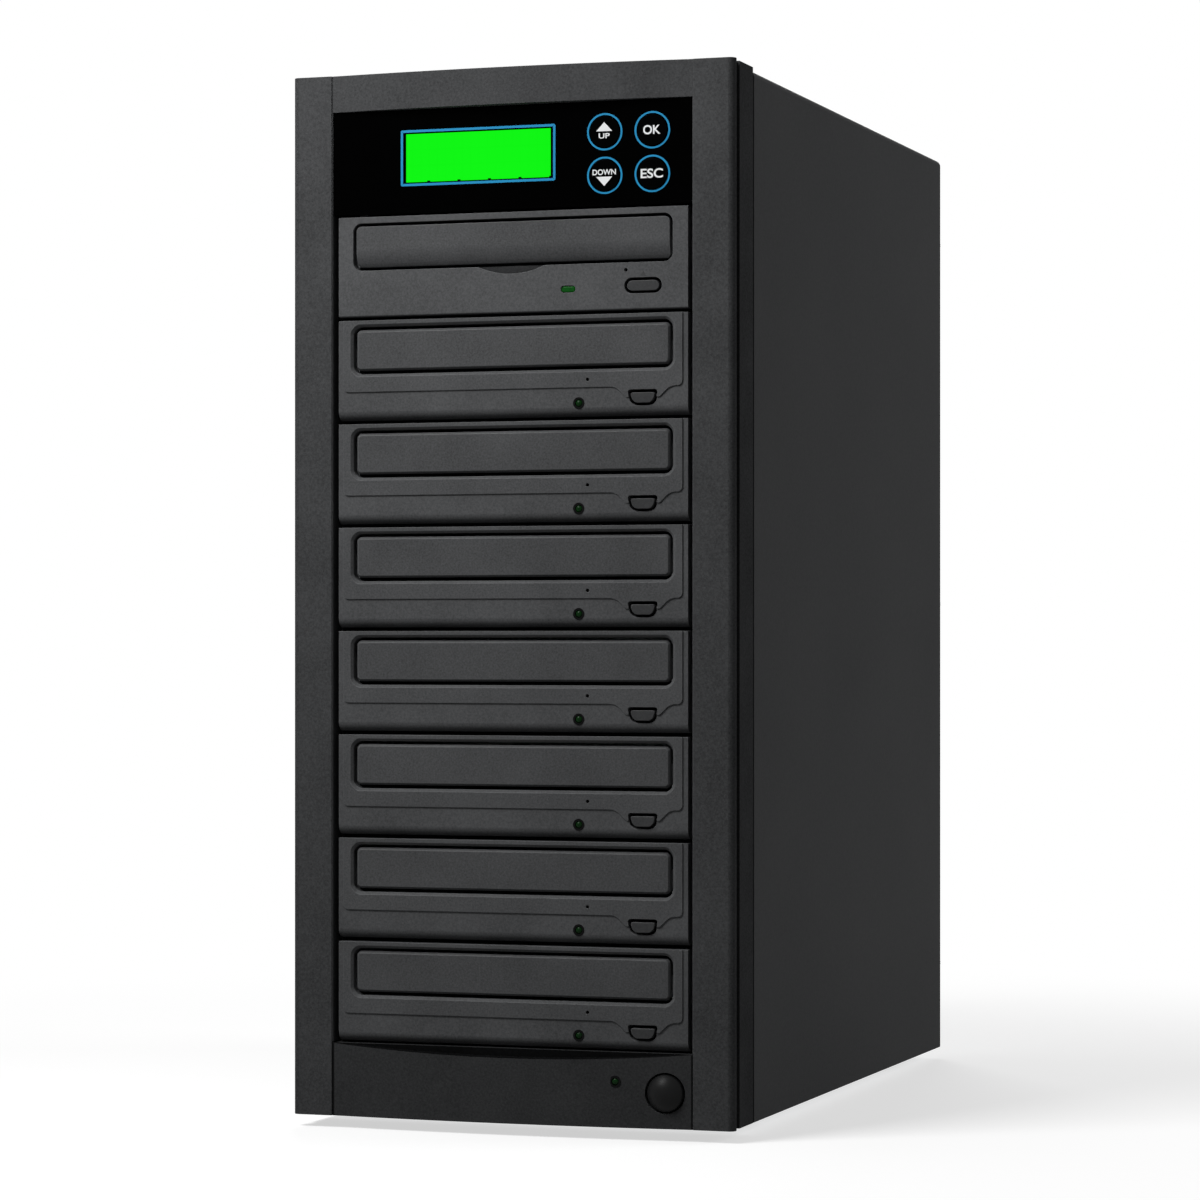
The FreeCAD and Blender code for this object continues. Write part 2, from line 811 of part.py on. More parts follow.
def eject_outline(drawing, room):
    """The writers' eject button: wide at its straight top, with cut corners at its foot."""
    top = f"eject_width / 2 + {room}"
    foot = f"eject_foot / 2 + {room}"
    sole = f"eject_sole / 2 + {room} / 2"
    high = f"eject_height + eject_tall / 2 + {room}"
    low = f"eject_height - eject_tall / 2 - {room}"
    return drawing.outline([
        (f"eject_x - ({sole})", low),
        (f"eject_x + {sole}", low),
        (f"eject_x + {foot}", f"{low} + eject_cut"),
        (f"eject_x + {top}", high),
        (f"eject_x - ({top})", high),
        (f"eject_x - ({foot})", f"{low} + eject_cut"),
    ])


def writer_fascia():
    """Raised face over a chin that rolls under; the crease dips round the eject button."""
    fascia = fascia_block("writer_fascia", "chin_round")
    dip_half = "eject_width / 2 + eject_gap + dip_side"
    low = "crease_height - crease_dip"
    face = fascia.on("XZ", "fascia_y").outline([
        ("-face_half", "crease_height"),
        (f"eject_x - ({dip_half}) - dip_slope", "crease_height"),
        (f"eject_x - ({dip_half})", low),
        (f"eject_x + {dip_half}", low),
        (f"eject_x + {dip_half} + dip_slope", "crease_height"),
        ("face_half", "crease_height"),
        ("face_half", "fascia_top"),
        ("-face_half", "fascia_top"),
    ])
    fascia.pad(face, "face_raise")
    door_opening(fascia, "fascia_y - face_raise")
    bevel_rim(fascia, "fascia_y - face_raise")
    holes = eject_outline(fascia.on("XZ", "fascia_y - face_raise"), "eject_gap")
    holes.polygon("bay_width / 2 - lamp_right", "lamp_height", "lamp_radius + lamp_room", PUNCH_SIDES)
    holes.polygon("bay_width / 2 - pin_right", "pin_height", "pin_radius", PUNCH_SIDES)
    fascia.pocket(holes)
    return fascia.body


def reader_fascia():
    """Plain face with a finger scoop under the door, a pill button and a long lamp."""
    fascia = fascia_block("reader_fascia", "reader_chin")
    door_opening(fascia, "fascia_y")
    low = "(door_base - door_gap)"
    radius = "(finger_chord ^ 2 / 4 + finger_drop ^ 2) / (2 * finger_drop)"
    scoop = fascia.on("XZ", "fascia_y").outline([
        ("-finger_chord / 2", low, radius, "0", f"{low} - finger_drop"),
        ("finger_chord / 2", low),
    ])
    fascia.pocket(scoop, "finger_depth")
    holes = fascia.on("XZ", "fascia_y")
    holes.pill("eject_x", "pill_height", "pill_width + 2 * eject_gap", "pill_tall + 2 * eject_gap")
    holes.lens("bay_width / 2 - pill_lamp_right", "pill_lamp_height",
               "pill_lamp_width + 2 * lamp_room", "pill_lamp_tall + 2 * lamp_room", "pill_lamp_cut")
    holes.polygon("bay_width / 2 - reader_pin_right", "reader_pin_height", "pin_radius", PUNCH_SIDES)
    fascia.pocket(holes)
    return fascia.body


def is_door_corner(b):
    along_y = b.XLength < CLOSE and b.ZLength < CLOSE
    return along_y and same(abs(b.XMax), "door_half")


def writer_door():
    door = Piece("writer_door")
    slab = door.on("XZ", "tray_y").rectangle("-door_half", "door_half", "door_base", "door_high")
    door.pad(slab, "door_thick")
    door.chamfer(is_door_corner, "door_round - door_edge")
    door.chamfer(lambda b: same(b.YMax, "tray_y - door_thick"), "door_edge")
    return door.body


def reader_door():
    """A door whose face is flat above and curls under towards its lower edge."""
    door = Piece("reader_door")
    front = "tray_y - door_thick"
    radius = "((curl_tall ^ 2 + curl_depth ^ 2) / (2 * curl_depth))"
    halfway = f"{front} + {radius} - sqrt({radius} ^ 2 - curl_tall ^ 2 / 4)"
    side = door.on("YZ", "-door_half").outline([
        ("tray_y", "door_base"),
        ("tray_y", "door_high"),
        (front, "door_high"),
        (front, "door_base + curl_tall", radius, halfway, "door_base + curl_tall / 2"),
        (f"{front} + curl_depth", "door_base"),
    ])
    door.pad(side, "2 * door_half")
    door.chamfer(is_door_corner, "door_round - door_edge")
    return door.body


def disc_tray():
    """Tray with a dish for the disc, and one opening for the hub and the pickup."""
    tray = Piece("disc_tray")
    plate = tray.on("XY", "tray_base").rectangle(
        "-tray_half", "tray_half", "tray_y", "tray_y + tray_length")
    tray.pad(plate, "tray_thick")
    tray.pocket(tray.on("XY", "tray_high").disc("0", "disc_y", "disc_radius"), "disc_depth")
    front = "disc_y - hub_radius"
    rear = "tray_y + tray_length - hub_slot_end"
    opening = tray.on("XY", "tray_high").outline([
        ("-(hub_slot / 2 - hub_corner)", front),
        ("hub_slot / 2 - hub_corner", front),
        ("hub_slot / 2", f"{front} + hub_corner"),
        ("hub_slot / 2", rear),
        ("-hub_slot / 2", rear),
        ("-hub_slot / 2", f"{front} + hub_corner"),
    ])
    tray.pocket(opening)
    return tray.body


def writer_button():
    button = Piece("writer_button")
    front = "fascia_y - face_raise - eject_proud"
    button.pad(eject_outline(button.on("XZ", front), "0"), "eject_length", reverse=True)
    return button.body


def reader_button():
    button = Piece("reader_button")
    cap = button.on("XZ", "fascia_y - eject_proud").pill(
        "eject_x", "pill_height", "pill_width", "pill_tall")
    button.pad(cap, "eject_length", reverse=True)
    return button.body


def writer_lamp():
    lamp = Piece("writer_lamp")
    lens = lamp.on("XZ", "fascia_y + lamp_inset").polygon(
        "bay_width / 2 - lamp_right", "lamp_height", "lamp_radius", PUNCH_SIDES)
    lamp.pad(lens, "lamp_length", reverse=True)
    return lamp.body


def reader_lamp():
    lamp = Piece("reader_lamp")
    lens = lamp.on("XZ", "fascia_y + lamp_inset").lens(
        "bay_width / 2 - pill_lamp_right", "pill_lamp_height", "pill_lamp_width", "pill_lamp_tall",
        "pill_lamp_cut")
    lamp.pad(lens, "lamp_length", reverse=True)
    return lamp.body


def power_lamp():
    lamp = Piece("power_lamp")
    x = "power_x - power_lamp_gap"
    face = f"{band_face(x)} + lamp_inset"
    height = "foot_height + power_lamp_height"
    lens = lamp.on("XZ", face).polygon(x, height, "lamp_radius", PUNCH_SIDES)
    lamp.pad(lens, f"skin_back + lamp_length - ({face})", reverse=True)
    return lamp.body


def bay_floor(drive):
    """Height of a drive's bay floor; drive 1 is the top one."""
    return f"bay_base + {DRIVES - drive} * bay_pitch"


def drives():
    """The reader in the top drive bay and identical writers below it."""
    housing = drive_housing()
    tray = disc_tray()
    reader = (reader_fascia(), reader_door(), reader_button(), reader_lamp())
    writer = (writer_fascia(), writer_door(), writer_button(), writer_lamp())
    pieces = []
    housings = []
    lamps = [power_lamp()]
    for drive in range(1, DRIVES + 1):
        fascia, door, button, lamp = reader if drive == 1 else writer
        floor = bay_floor(drive)
        pieces.append(placed(f"drive_{drive}_fascia", [fascia], z=floor))
        pieces.append(placed(f"drive_{drive}_tray", [tray], z=floor))
        pieces.append(placed(f"drive_{drive}_tray_door", [door], z=floor))
        pieces.append(placed(f"drive_{drive}_eject_button", [button], z=floor))
        housings.append(placed(f"housing_{drive}", [housing], z=floor))
        lamps.append(placed(f"lamp_{drive}", [lamp], z=floor))
    return pieces + [placed("drive_housings", housings), placed("indicator_lamps", lamps)]


def key_places():
    return {
        "key_up": ("key_x - key_pitch_x", "key_z"),
        "key_ok": ("key_x", "key_z"),
        "key_down": ("key_x - key_pitch_x", "key_z - key_pitch_z"),
        "key_esc": ("key_x", "key_z - key_pitch_z"),
    }


def boss_places():
    spots = []
    for x in ("-(panel_half - boss_corner)", "panel_half - boss_corner"):
        for z in ("panel_low + boss_corner", "panel_high - boss_corner"):
            spots.append((x, z))
    return spots


def control_panel():
    """Plate with a display window and four key holes; bosses behind it carry the board."""
    panel = Piece("control_panel")
    plate = panel.on("XZ", "panel_y").rectangle("-panel_half", "panel_half", "panel_low", "panel_high")
    panel.pad(plate, "panel_thick", reverse=True)
    cuts = panel.on("XZ", "panel_y").box("display_x", "display_z", "display_width", "display_tall")
    for x, z in key_places().values():
        cuts.disc(x, z, "key_radius + key_room")
    panel.pocket(cuts)
    bosses = panel.on("XZ", "panel_back")
    for x, z in boss_places():
        bosses.box(x, z, "boss_side", "boss_side")
    panel.pad(bosses, "board_space", reverse=True)
    return panel.body


def display_module():
    """Display block: its lit face stands in the window, its frame sits behind the plate."""
    module = Piece("lcd_module")
    frame = module.on("XZ", "panel_back").box(
        "display_x", "display_z", "display_width + 2 * display_frame", "display_tall + display_frame")
    module.pad(frame, "board_space", reverse=True)
    face = module.on("XZ", "panel_back").box(
        "display_x", "display_z", "display_width - 2 * display_room", "display_tall - 2 * display_room")
    module.pad(face, "panel_thick - display_inset")
    return module.body


def controller_board():
    """Circuit board behind the panel, with a data port for each drive on its back."""
    board = Piece("controller_board")
    plate = board.on("XZ", "board_y").rectangle(
        "-(panel_half - board_margin)", "panel_half - board_margin",
        "panel_low + board_margin", "panel_high - board_margin")
    board.pad(plate, "board_thick", reverse=True)
    ports = board.on("XZ", "board_y + board_thick")
    columns = DRIVES // 2
    for drive in range(DRIVES):
        x = f"{drive % columns - (columns - 1) / 2} * port_pitch"
        z = f"(panel_low + panel_high) / 2 + {drive // columns - 0.5} * 2 * port_tall"
        ports.box(x, z, "port_width", "port_tall")
    board.pad(ports, "port_depth", reverse=True)
    return board.body


def keys():
    """Push keys: round cap, square plate that holds it behind the panel, stem towards the board."""
    key = Piece("key")
    back = "panel_thick + fit_gap"
    key.pad(key.on("XZ", "-key_proud").disc("0", "0", "key_radius"), f"key_proud + {back}", reverse=True)
    plate = key.on("XZ", back).box("0", "0", "2 * key_flange", "2 * key_flange")
    key.pad(plate, "key_flange_thick", reverse=True)
    stem = key.on("XZ", back).box("0", "0", "2 * key_stem", "2 * key_stem")
    key.pad(stem, "board_space - 2 * fit_gap - key_travel", reverse=True)
    return [placed(name, [key.body], x=x, y="panel_y", z=z) for name, (x, z) in key_places().items()]


def power_button():
    """Domed button held by a square plate behind the lower panel, with a stem to its switch."""
    button = Piece("power_push")
    back = "bezel_skin + fit_gap"
    profile = button.on("XY").outline([
        ("0", "-power_reach"),
        ("dome_flat", "-power_reach"),
        ("power_radius", "power_dome - power_reach"),
        ("power_radius", back),
        ("0", back),
    ])
    button.revolve(profile, "Y")
    side = "2 * (power_hole + power_flange)"
    button.pad(button.on("XZ", back).box("0", "0", side, side), "power_skirt", reverse=True)
    stem = button.on("XZ", back).box("0", "0", "2 * power_stem", "2 * power_stem")
    button.pad(stem, "power_skirt + power_stem_length", reverse=True)
    return placed("power_button", [button.body], x="power_x", y="front_y", z="power_z")


def power_switch():
    """Switch block that stands on the bezel's floor behind the power button."""
    switch = Piece("power_switch")
    block = switch.on("XZ", "switch_y").rectangle(
        "power_x - switch_width / 2", "power_x + switch_width / 2",
        "foot_height + bezel_wall", "power_z + switch_width / 2")
    switch.pad(block, "switch_depth", reverse=True)
    return switch.body


def power_supply():
    """Steel box with a vented rear face, cut out for the socket and the rocker switch."""
    case = Piece("psu_case")
    outer = case.on("XZ", "wall_y").rectangle(
        "-psu_width / 2", "psu_width / 2", "floor_top", "floor_top + psu_height")
    case.pad(outer, "psu_depth")
    inner = case.on("XZ", "wall_y - sheet").rectangle(
        "-(psu_width / 2 - sheet)", "psu_width / 2 - sheet",
        "floor_top + sheet", "floor_top + psu_height - sheet")
    case.pocket(inner, "psu_depth - 2 * sheet", reverse=True)
    rear = case.on("XZ", "wall_y - sheet")
    rear.box("socket_x", "socket_z", "socket_width + 2 * socket_wall + 2 * fit_gap",
             "socket_tall + 2 * socket_wall + 2 * fit_gap")
    rear.box("socket_x", "rocker_z", "rocker_width + 2 * rocker_gap + 2 * rocker_wall + 2 * fit_gap",
             "rocker_tall + 2 * rocker_gap + 2 * rocker_wall + 2 * fit_gap")
    case.pocket(rear, "2 * sheet")
    case.vent("wall_y - sheet", "supply_fan_x", "supply_fan_z", "2 * sheet")
    return case.body


def mains_inlet():
    """Three-prong socket with two cut corners, in a flange on the supply's rear face."""
    inlet = Piece("psu_inlet")
    width = "socket_width + 2 * socket_wall"
    tall = "socket_tall + 2 * socket_wall"
    flange = inlet.on("XZ", "wall_y").box(
        "socket_x", "socket_z", f"{width} + 2 * socket_flange", f"{tall} + 2 * socket_flange")
    inlet.pad(flange, "socket_flange_thick", reverse=True)
    inlet.pad(inlet.on("XZ", "wall_y").box("socket_x", "socket_z", width, tall),
              "socket_depth + socket_wall - socket_flange_thick")
    left = "socket_x - socket_width / 2"
    right = "socket_x + socket_width / 2"
    low = "socket_z - socket_tall / 2"
    high = "socket_z + socket_tall / 2"
    mouth = "wall_y + socket_flange_thick"
    cavity = inlet.on("XZ", mouth).outline([
        (left, low),
        (right, low),
        (right, f"{high} - socket_corner"),
        (f"{right} - socket_corner", high),
        (f"{left} + socket_corner", high),
        (left, f"{high} - socket_corner"),
    ])
    inlet.pocket(cavity, "socket_depth", reverse=True)
    prongs = inlet.on("XZ", f"{mouth} - socket_depth")
    prongs.box("socket_x", "socket_z + prong_drop", "prong_thick", "prong_tall")
    prongs.box("socket_x - prong_spread", "socket_z - prong_drop", "prong_thick", "prong_tall")
    prongs.box("socket_x + prong_spread", "socket_z - prong_drop", "prong_thick", "prong_tall")
    inlet.pad(prongs, "prong_length", reverse=True)
    return inlet.body


def rocker_frame():
    frame = Piece("rocker_frame")
    width = "rocker_width + 2 * rocker_gap"
    tall = "rocker_tall + 2 * rocker_gap"
    flange = frame.on("XZ", "wall_y").box(
        "socket_x", "rocker_z", f"{width} + 2 * rocker_wall + 2 * rocker_flange",
        f"{tall} + 2 * rocker_wall + 2 * rocker_flange")
    frame.pad(flange, "rocker_flange_thick", reverse=True)
    body = frame.on("XZ", "wall_y").box(
        "socket_x", "rocker_z", f"{width} + 2 * rocker_wall", f"{tall} + 2 * rocker_wall")
    frame.pad(body, "rocker_depth + rocker_wall")
    well = frame.on("XZ", "wall_y + rocker_flange_thick").box("socket_x", "rocker_z", width, tall)
    frame.pocket(well, "rocker_flange_thick + rocker_depth", reverse=True)
    return frame.body


def rocker():
    """Paddle with two sloping faces, tipped to one side about its pivot."""
    paddle = Piece("rocker_paddle")
    half = "rocker_tall / 2"
    profile = paddle.on("YZ", "-rocker_width / 2").outline([
        ("rocker_rise", f"-{half}"),
        ("rocker_pivot", "0"),
        ("rocker_rise", half),
        ("0", half),
        ("-rocker_keel", "rocker_keel_half"),
        ("-rocker_keel", "-rocker_keel_half"),
        ("0", f"-{half}"),
    ])
    paddle.pad(profile, "rocker_width")
    return placed("psu_rocker", [paddle.body], x="socket_x", y="rocker_axis_y", z="rocker_z",
                  turn_x="rocker_tilt")


def fan_frame():
    """Square fan frame: round bore, four arms to the motor plate and its spindle."""
    frame = Piece("fan_frame")
    square = frame.on("XZ").box("0", "0", "fan_size", "fan_size")
    frame.pad(square.polygon("0", "0", "fan_bore", BORE_SIDES), "fan_depth")
    frame.chamfer(lambda b: b.YLength > CLOSE and same(abs(b.XMax), "fan_size / 2"), "fan_corner")
    front = "-fan_depth"
    frame.pad(frame.on("XZ", front).box("0", "0", "2 * fan_bore + fan_bite", "fan_arm"),
              "fan_plate", reverse=True)
    frame.pad(frame.on("XZ", front).box("0", "0", "fan_arm", "2 * fan_bore + fan_bite"),
              "fan_plate", reverse=True)
    plate = frame.on("XZ", front).polygon("0", "0", "fan_motor", PUNCH_SIDES)
    frame.pad(plate, "fan_plate", reverse=True)
    frame.pad(frame.on("XZ", front).disc("0", "0", "fan_spindle"), "fan_spindle_length", reverse=True)
    return frame.body


def fan_rotor():
    """Hub with pitched blades that widen outwards, running on the frame's spindle."""
    rotor = Piece("fan_rotor")
    start = "-fan_depth + fan_plate + fit_gap"
    hub = rotor.on("XZ", start).polygon("0", "0", "rotor_hub", HUB_SIDES)
    rotor.pad(hub, "rotor_depth + rotor_cap", reverse=True)
    bore = rotor.on("XZ", start).disc("0", "0", "fan_spindle + rotor_room")
    rotor.pocket(bore, "rotor_depth")
    # A blade's plane stands on the radius, turned from the shaft by its pitch
    outline = rotor.on("XY", pitch="90 - blade_pitch")
    bind(outline.sketch, "AttachmentOffset.Base.y", f"{start} + rotor_depth / 2")
    outline.outline([
        ("rotor_hub - blade_bury", "-blade_root_chord / 2"),
        ("fan_bore - blade_tip_gap", "-blade_tip_chord / 2"),
        ("fan_bore - blade_tip_gap", "blade_tip_chord / 2"),
        ("rotor_hub - blade_bury", "blade_root_chord / 2"),
    ])
    blade = rotor.pad(outline, "blade_thick")
    rotor.polar(blade, "Y", BLADES)
    return rotor.body


def fans():
    """The case fan on the rear wall and the supply's own fan, of one kind."""
    frame = fan_frame()
    rotor = fan_rotor()
    spots = {
        "rear_fan": ("0", "wall_y", "rear_fan_z"),
        "psu_fan": ("supply_fan_x", "supply_fan_y", "supply_fan_z"),
    }
    pieces = []
    for name, (x, y, z) in spots.items():
        pieces.append(placed(f"{name}_frame", [frame], x=x, y=y, z=z))
        pieces.append(placed(f"{name}_rotor", [rotor], x=x, y=y, z=z))
    return pieces


sub_parts = [
    front_bezel(), chassis(), cover(), drive_cage(), feet(), thumbscrews(),
    control_panel(), display_module(), controller_board(), *keys(),
    power_button(), power_switch(),
    power_supply(), mains_inlet(), rocker_frame(), rocker(),
    *drives(), *fans(),
]
doc.recompute()

for item in doc.Objects:
    if "Invalid" in item.State or "Error" in item.State:
        raise RuntimeError(f"{item.Label} failed: {item.State}")
for item in sub_parts:
    if item.Shape.isNull() or not item.Shape.isValid() or not item.Shape.Solids:
        raise RuntimeError(f"{item.Label} has no valid solid")

os.makedirs("parts", exist_ok=True)
for item in sub_parts:
    item.Shape.exportStep(f"parts/{item.Label}.step")
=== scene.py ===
import json
import math

import bmesh
import bpy
from mathutils import Matrix, Vector

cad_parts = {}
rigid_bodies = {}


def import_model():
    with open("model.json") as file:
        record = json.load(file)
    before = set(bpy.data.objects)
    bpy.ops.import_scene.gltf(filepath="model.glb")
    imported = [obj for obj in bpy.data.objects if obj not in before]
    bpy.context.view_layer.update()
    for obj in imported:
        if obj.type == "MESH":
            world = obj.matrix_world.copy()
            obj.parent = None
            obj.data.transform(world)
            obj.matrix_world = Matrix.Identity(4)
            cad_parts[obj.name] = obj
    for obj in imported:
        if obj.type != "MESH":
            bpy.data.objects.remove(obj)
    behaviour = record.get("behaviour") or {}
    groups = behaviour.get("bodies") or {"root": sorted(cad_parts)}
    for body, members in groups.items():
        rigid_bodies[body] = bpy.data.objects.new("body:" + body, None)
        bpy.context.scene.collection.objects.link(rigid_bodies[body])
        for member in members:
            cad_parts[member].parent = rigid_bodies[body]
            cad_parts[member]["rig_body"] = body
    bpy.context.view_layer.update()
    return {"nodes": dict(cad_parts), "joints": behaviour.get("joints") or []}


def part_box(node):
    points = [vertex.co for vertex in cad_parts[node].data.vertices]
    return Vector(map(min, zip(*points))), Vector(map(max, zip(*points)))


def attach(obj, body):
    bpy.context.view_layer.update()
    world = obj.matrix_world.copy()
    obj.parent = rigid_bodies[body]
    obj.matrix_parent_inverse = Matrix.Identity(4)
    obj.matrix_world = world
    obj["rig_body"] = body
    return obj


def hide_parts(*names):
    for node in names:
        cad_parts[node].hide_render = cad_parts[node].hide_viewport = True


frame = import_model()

# A disc duplicator tower. Lengths are in metres; the front faces -Y and +Z is up.
MM = 0.001
DRIVES = range(1, 9)
KEYS = ("up", "ok", "down", "esc")
FANS = ("rear_fan", "psu_fan")
MERGE = 1e-6
NEAR = 10 * MERGE

scene = bpy.context.scene
nodes = frame["nodes"]


def low(node):
    return Vector(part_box(node)[0])


def high(node):
    return Vector(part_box(node)[1])


def middle(node):
    return (low(node) + high(node)) / 2


# Shader maths

NOISE_MEAN = 0.5


class Value:
    """A shader socket that takes part in sums: each operator adds one Math node."""

    def __init__(self, finish, socket):
        self.finish = finish
        self.socket = socket

    def math(self, operation, *terms):
        return self.finish.node("ShaderNodeMath", {"operation": operation}, dict(enumerate(terms)))

    def stray(self, weight):
        """How far a noise strays from its mean, times a weight."""
        return (self - NOISE_MEAN) * weight

    def __add__(self, other):
        return self.math("ADD", self, other)

    def __radd__(self, other):
        return self.math("ADD", other, self)

    def __sub__(self, other):
        return self.math("SUBTRACT", self, other)

    def __rsub__(self, other):
        return self.math("SUBTRACT", other, self)

    def __mul__(self, other):
        return self.math("MULTIPLY", self, other)

    def __rmul__(self, other):
        return self.math("MULTIPLY", other, self)

    def __lt__(self, other):
        return self.math("LESS_THAN", self, other)

    def __gt__(self, other):
        return self.math("GREATER_THAN", self, other)


class Finish:
    """A material or world that is put together node by node."""

    MIX_A = 6
    MIX_B = 7
    MIX_RESULT = 2

    def __init__(self, owner):
        owner.use_nodes = True
        self.owner = owner
        self.tree = owner.node_tree
        self.tree.nodes.clear()

    def node(self, kind, settings=None, sockets=None, output=0):
        node = self.tree.nodes.new(kind)
        for name, value in (settings or {}).items():
            setattr(node, name, value)
        for key, value in (sockets or {}).items():
            if isinstance(value, Value):
                self.tree.links.new(value.socket, node.inputs[key])
            else:
                node.inputs[key].default_value = value
        return Value(self, node.outputs[output])

    def others(self, value, *names):
        """More outputs of the node that a value comes from."""
        return [Value(self, value.socket.node.outputs[name]) for name in names]

    def place(self, scale=(1, 1, 1)):
        """Object coordinates, stretched where a grain runs one way."""
        here = self.node("ShaderNodeTexCoord", output="Object")
        return self.node("ShaderNodeMapping", None, {"Vector": here, "Scale": scale})

    def axes(self, *names):
        """Object coordinates one by one."""
        split = self.node("ShaderNodeSeparateXYZ", None, {"Vector": self.place()})
        return self.others(split, *names)

    def noise(self, place, scale, detail, rough):
        """Soft noise about its mean; the detail is the number of finer layers in it."""
        sockets = {"Vector": place, "Scale": scale, "Detail": detail, "Roughness": rough}
        return self.node("ShaderNodeTexNoise", None, sockets)

    def mix(self, amount, first, second):
        settings = {"data_type": "RGBA", "clamp_factor": True}
        sockets = {0: amount, self.MIX_A: first, self.MIX_B: second}
        return self.node("ShaderNodeMix", settings, sockets, self.MIX_RESULT)

    def band(self, value, start, end):
        """0 below start, 1 above end, and a soft step between."""
        settings = {"interpolation_type": "SMOOTHSTEP"}
        return self.node("ShaderNodeMapRange", settings, {0: value, 1: start, 2: end})

    def worn(self):
        """1 on the small bevels of an eased piece, 0 on its faces."""
        return self.node("ShaderNodeAttribute", {"attribute_name": "edge"}, output="Fac")

    def relief(self, height, strength, depth):
        """A fine texture that tips the normals."""
        sockets = {"Height": height, "Strength": strength, "Distance": depth}
        return self.node("ShaderNodeBump", None, sockets, "Normal")

    def seen_directly(self):
        """1 where the camera, gloss or glass looks at it, 0 for light that falls on things."""
        path = self.node("ShaderNodeLightPath")
        camera, gloss, through = self.others(
            path, "Is Camera Ray", "Is Glossy Ray", "Is Transmission Ray")
        return camera.math("MINIMUM", camera + gloss + through, 1.0)

    def surface(self, **sockets):
        """Closes a material with a plain surface shader and hands it over."""
        self.give(self.node("ShaderNodeBsdfPrincipled", None, sockets))
        return self.owner

    def give(self, shader):
        is_world = isinstance(self.owner, bpy.types.World)
        out = self.tree.nodes.new("ShaderNodeOutputWorld" if is_world else "ShaderNodeOutputMaterial")
        self.tree.links.new(shader.socket, out.inputs["Surface"])


def new_finish(name):
    return Finish(bpy.data.materials.new(name))


COOL = (0.98, 1.0, 1.03)
NEUTRAL = (1, 1, 1)


def grey(level, tint=COOL):
    return tuple(level * t for t in tint) + (1,)


# Finishes

LOWER_PANEL_HALF = 77.8 * MM
LOWER_PANEL_TOP = low("drive_8_fascia").z
LOWER_PANEL_DARK = 0.36
# Width and strength of the painted shadow line where the lower panel meets each stile
JOINT_SHADOW_WIDTH = 1.0 * MM
JOINT_PAINTED_SHADOW = 0.6


def bezel_darker_panel_and_shadow(f):
    """How far the bezel is darkened: its lower panel is darker, and a painted shadow line runs along the
    joints beside that panel.
    """
    x, z = f.axes("X", "Z")
    out = x.math("ABSOLUTE", x)
    panel = (out < LOWER_PANEL_HALF) * (z < LOWER_PANEL_TOP)
    # Painted shadow line along the joint between the lower panel and each stile
    joint = panel * (out > LOWER_PANEL_HALF - JOINT_SHADOW_WIDTH)
    return panel * LOWER_PANEL_DARK + joint * JOINT_PAINTED_SHADOW


def moulded_plastic(name, shade, roughness, grain, depth, specular, darkening=None):
    """Spark-textured moulding: a fine grain, faint clouding, edges rubbed a little brighter."""
    f = new_finish(name)
    place = f.place()
    pit = f.noise(place, grain, 3.0, 0.6)
    speckle = f.noise(place, grain * 0.45, 2.0, 0.5)
    cloud = f.noise(place, 38.0, 4.0, 0.55)
    edge = f.worn()
    amount = pit.stray(0.7) + speckle.stray(0.8) + cloud.stray(0.5) + 0.5 + edge * 0.25
    colour = f.mix(amount, grey(shade * 0.45), grey(shade * 1.55))
    # Optional darkening, such as the bezel's darker lower panel and its painted shadow lines
    if darkening:
        colour = f.mix(darkening(f), colour, grey(shade * 0.1))
    return f.surface(**{
        "Base Color": colour,
        "Roughness": roughness + cloud.stray(0.12) + pit.stray(0.1) - edge * 0.06,
        "Specular IOR Level": specular,
        "Normal": f.relief(pit + speckle * 0.6, 0.35, depth),
    })


def powder_coat():
    """Black stoved paint on sheet steel, with a fine orange peel."""
    f = new_finish("cover_powder_coat")
    place = f.place()
    peel = f.noise(place, 900.0, 2.0, 0.45)
    fleck = f.noise(place, 2600.0, 1.0, 0.5)
    haze = f.noise(place, 14.0, 3.0, 0.6)
    amount = peel.stray(0.5) + fleck.stray(0.8) + haze.stray(0.35) + 0.5 + f.worn() * 0.4
    return f.surface(**{
        "Base Color": f.mix(amount, grey(0.024), grey(0.056)),
        "Roughness": 0.6 + haze.stray(0.14) + fleck.stray(0.1),
        "Specular IOR Level": 0.016,
        "Normal": f.relief(peel + fleck * 0.3, 0.3, 0.06 * MM),
    })


def zinc_sheet():
    """Galvanised sheet: flat spangles of a slightly different grey, with rolling streaks."""
    f = new_finish("zinc_sheet")
    place = f.place()
    wobble = f.noise(place, 60.0, 3.0, 0.5)
    cells = {"Vector": place, "Scale": 260.0}
    spangle = f.node("ShaderNodeTexVoronoi", {"feature": "F1"}, cells, "Color")
    tone = f.node("ShaderNodeSeparateColor", None, {"Color": spangle})
    streak = f.noise(f.place((900.0, 60.0, 18.0)), 1.0, 2.0, 0.5)
    amount = tone * 0.25 + wobble.stray(0.5) + streak.stray(0.6) + 0.35 + f.worn() * 0.25
    return f.surface(**{
        "Base Color": f.mix(amount, grey(0.38), grey(0.54)),
        "Roughness": 0.34 + tone * 0.12 + wobble.stray(0.12),
        "Metallic": 0.92,
        "Normal": f.relief(streak + tone * 0.3, 0.12, 0.03 * MM),
    })


def screw_plating():
    """Nickel-plated turned steel, a little dulled by handling."""
    f = new_finish("screw_plating")
    place = f.place()
    fine = f.noise(place, 1800.0, 2.0, 0.5)
    dull = f.noise(place, 220.0, 3.0, 0.5)
    return f.surface(**{
        "Base Color": f.mix(dull, grey(0.42), grey(0.66)),
        "Roughness": 0.26 + dull.stray(0.2) + fine.stray(0.1),
        "Metallic": 1.0,
        "Normal": f.relief(fine, 0.15, 0.02 * MM),
    })


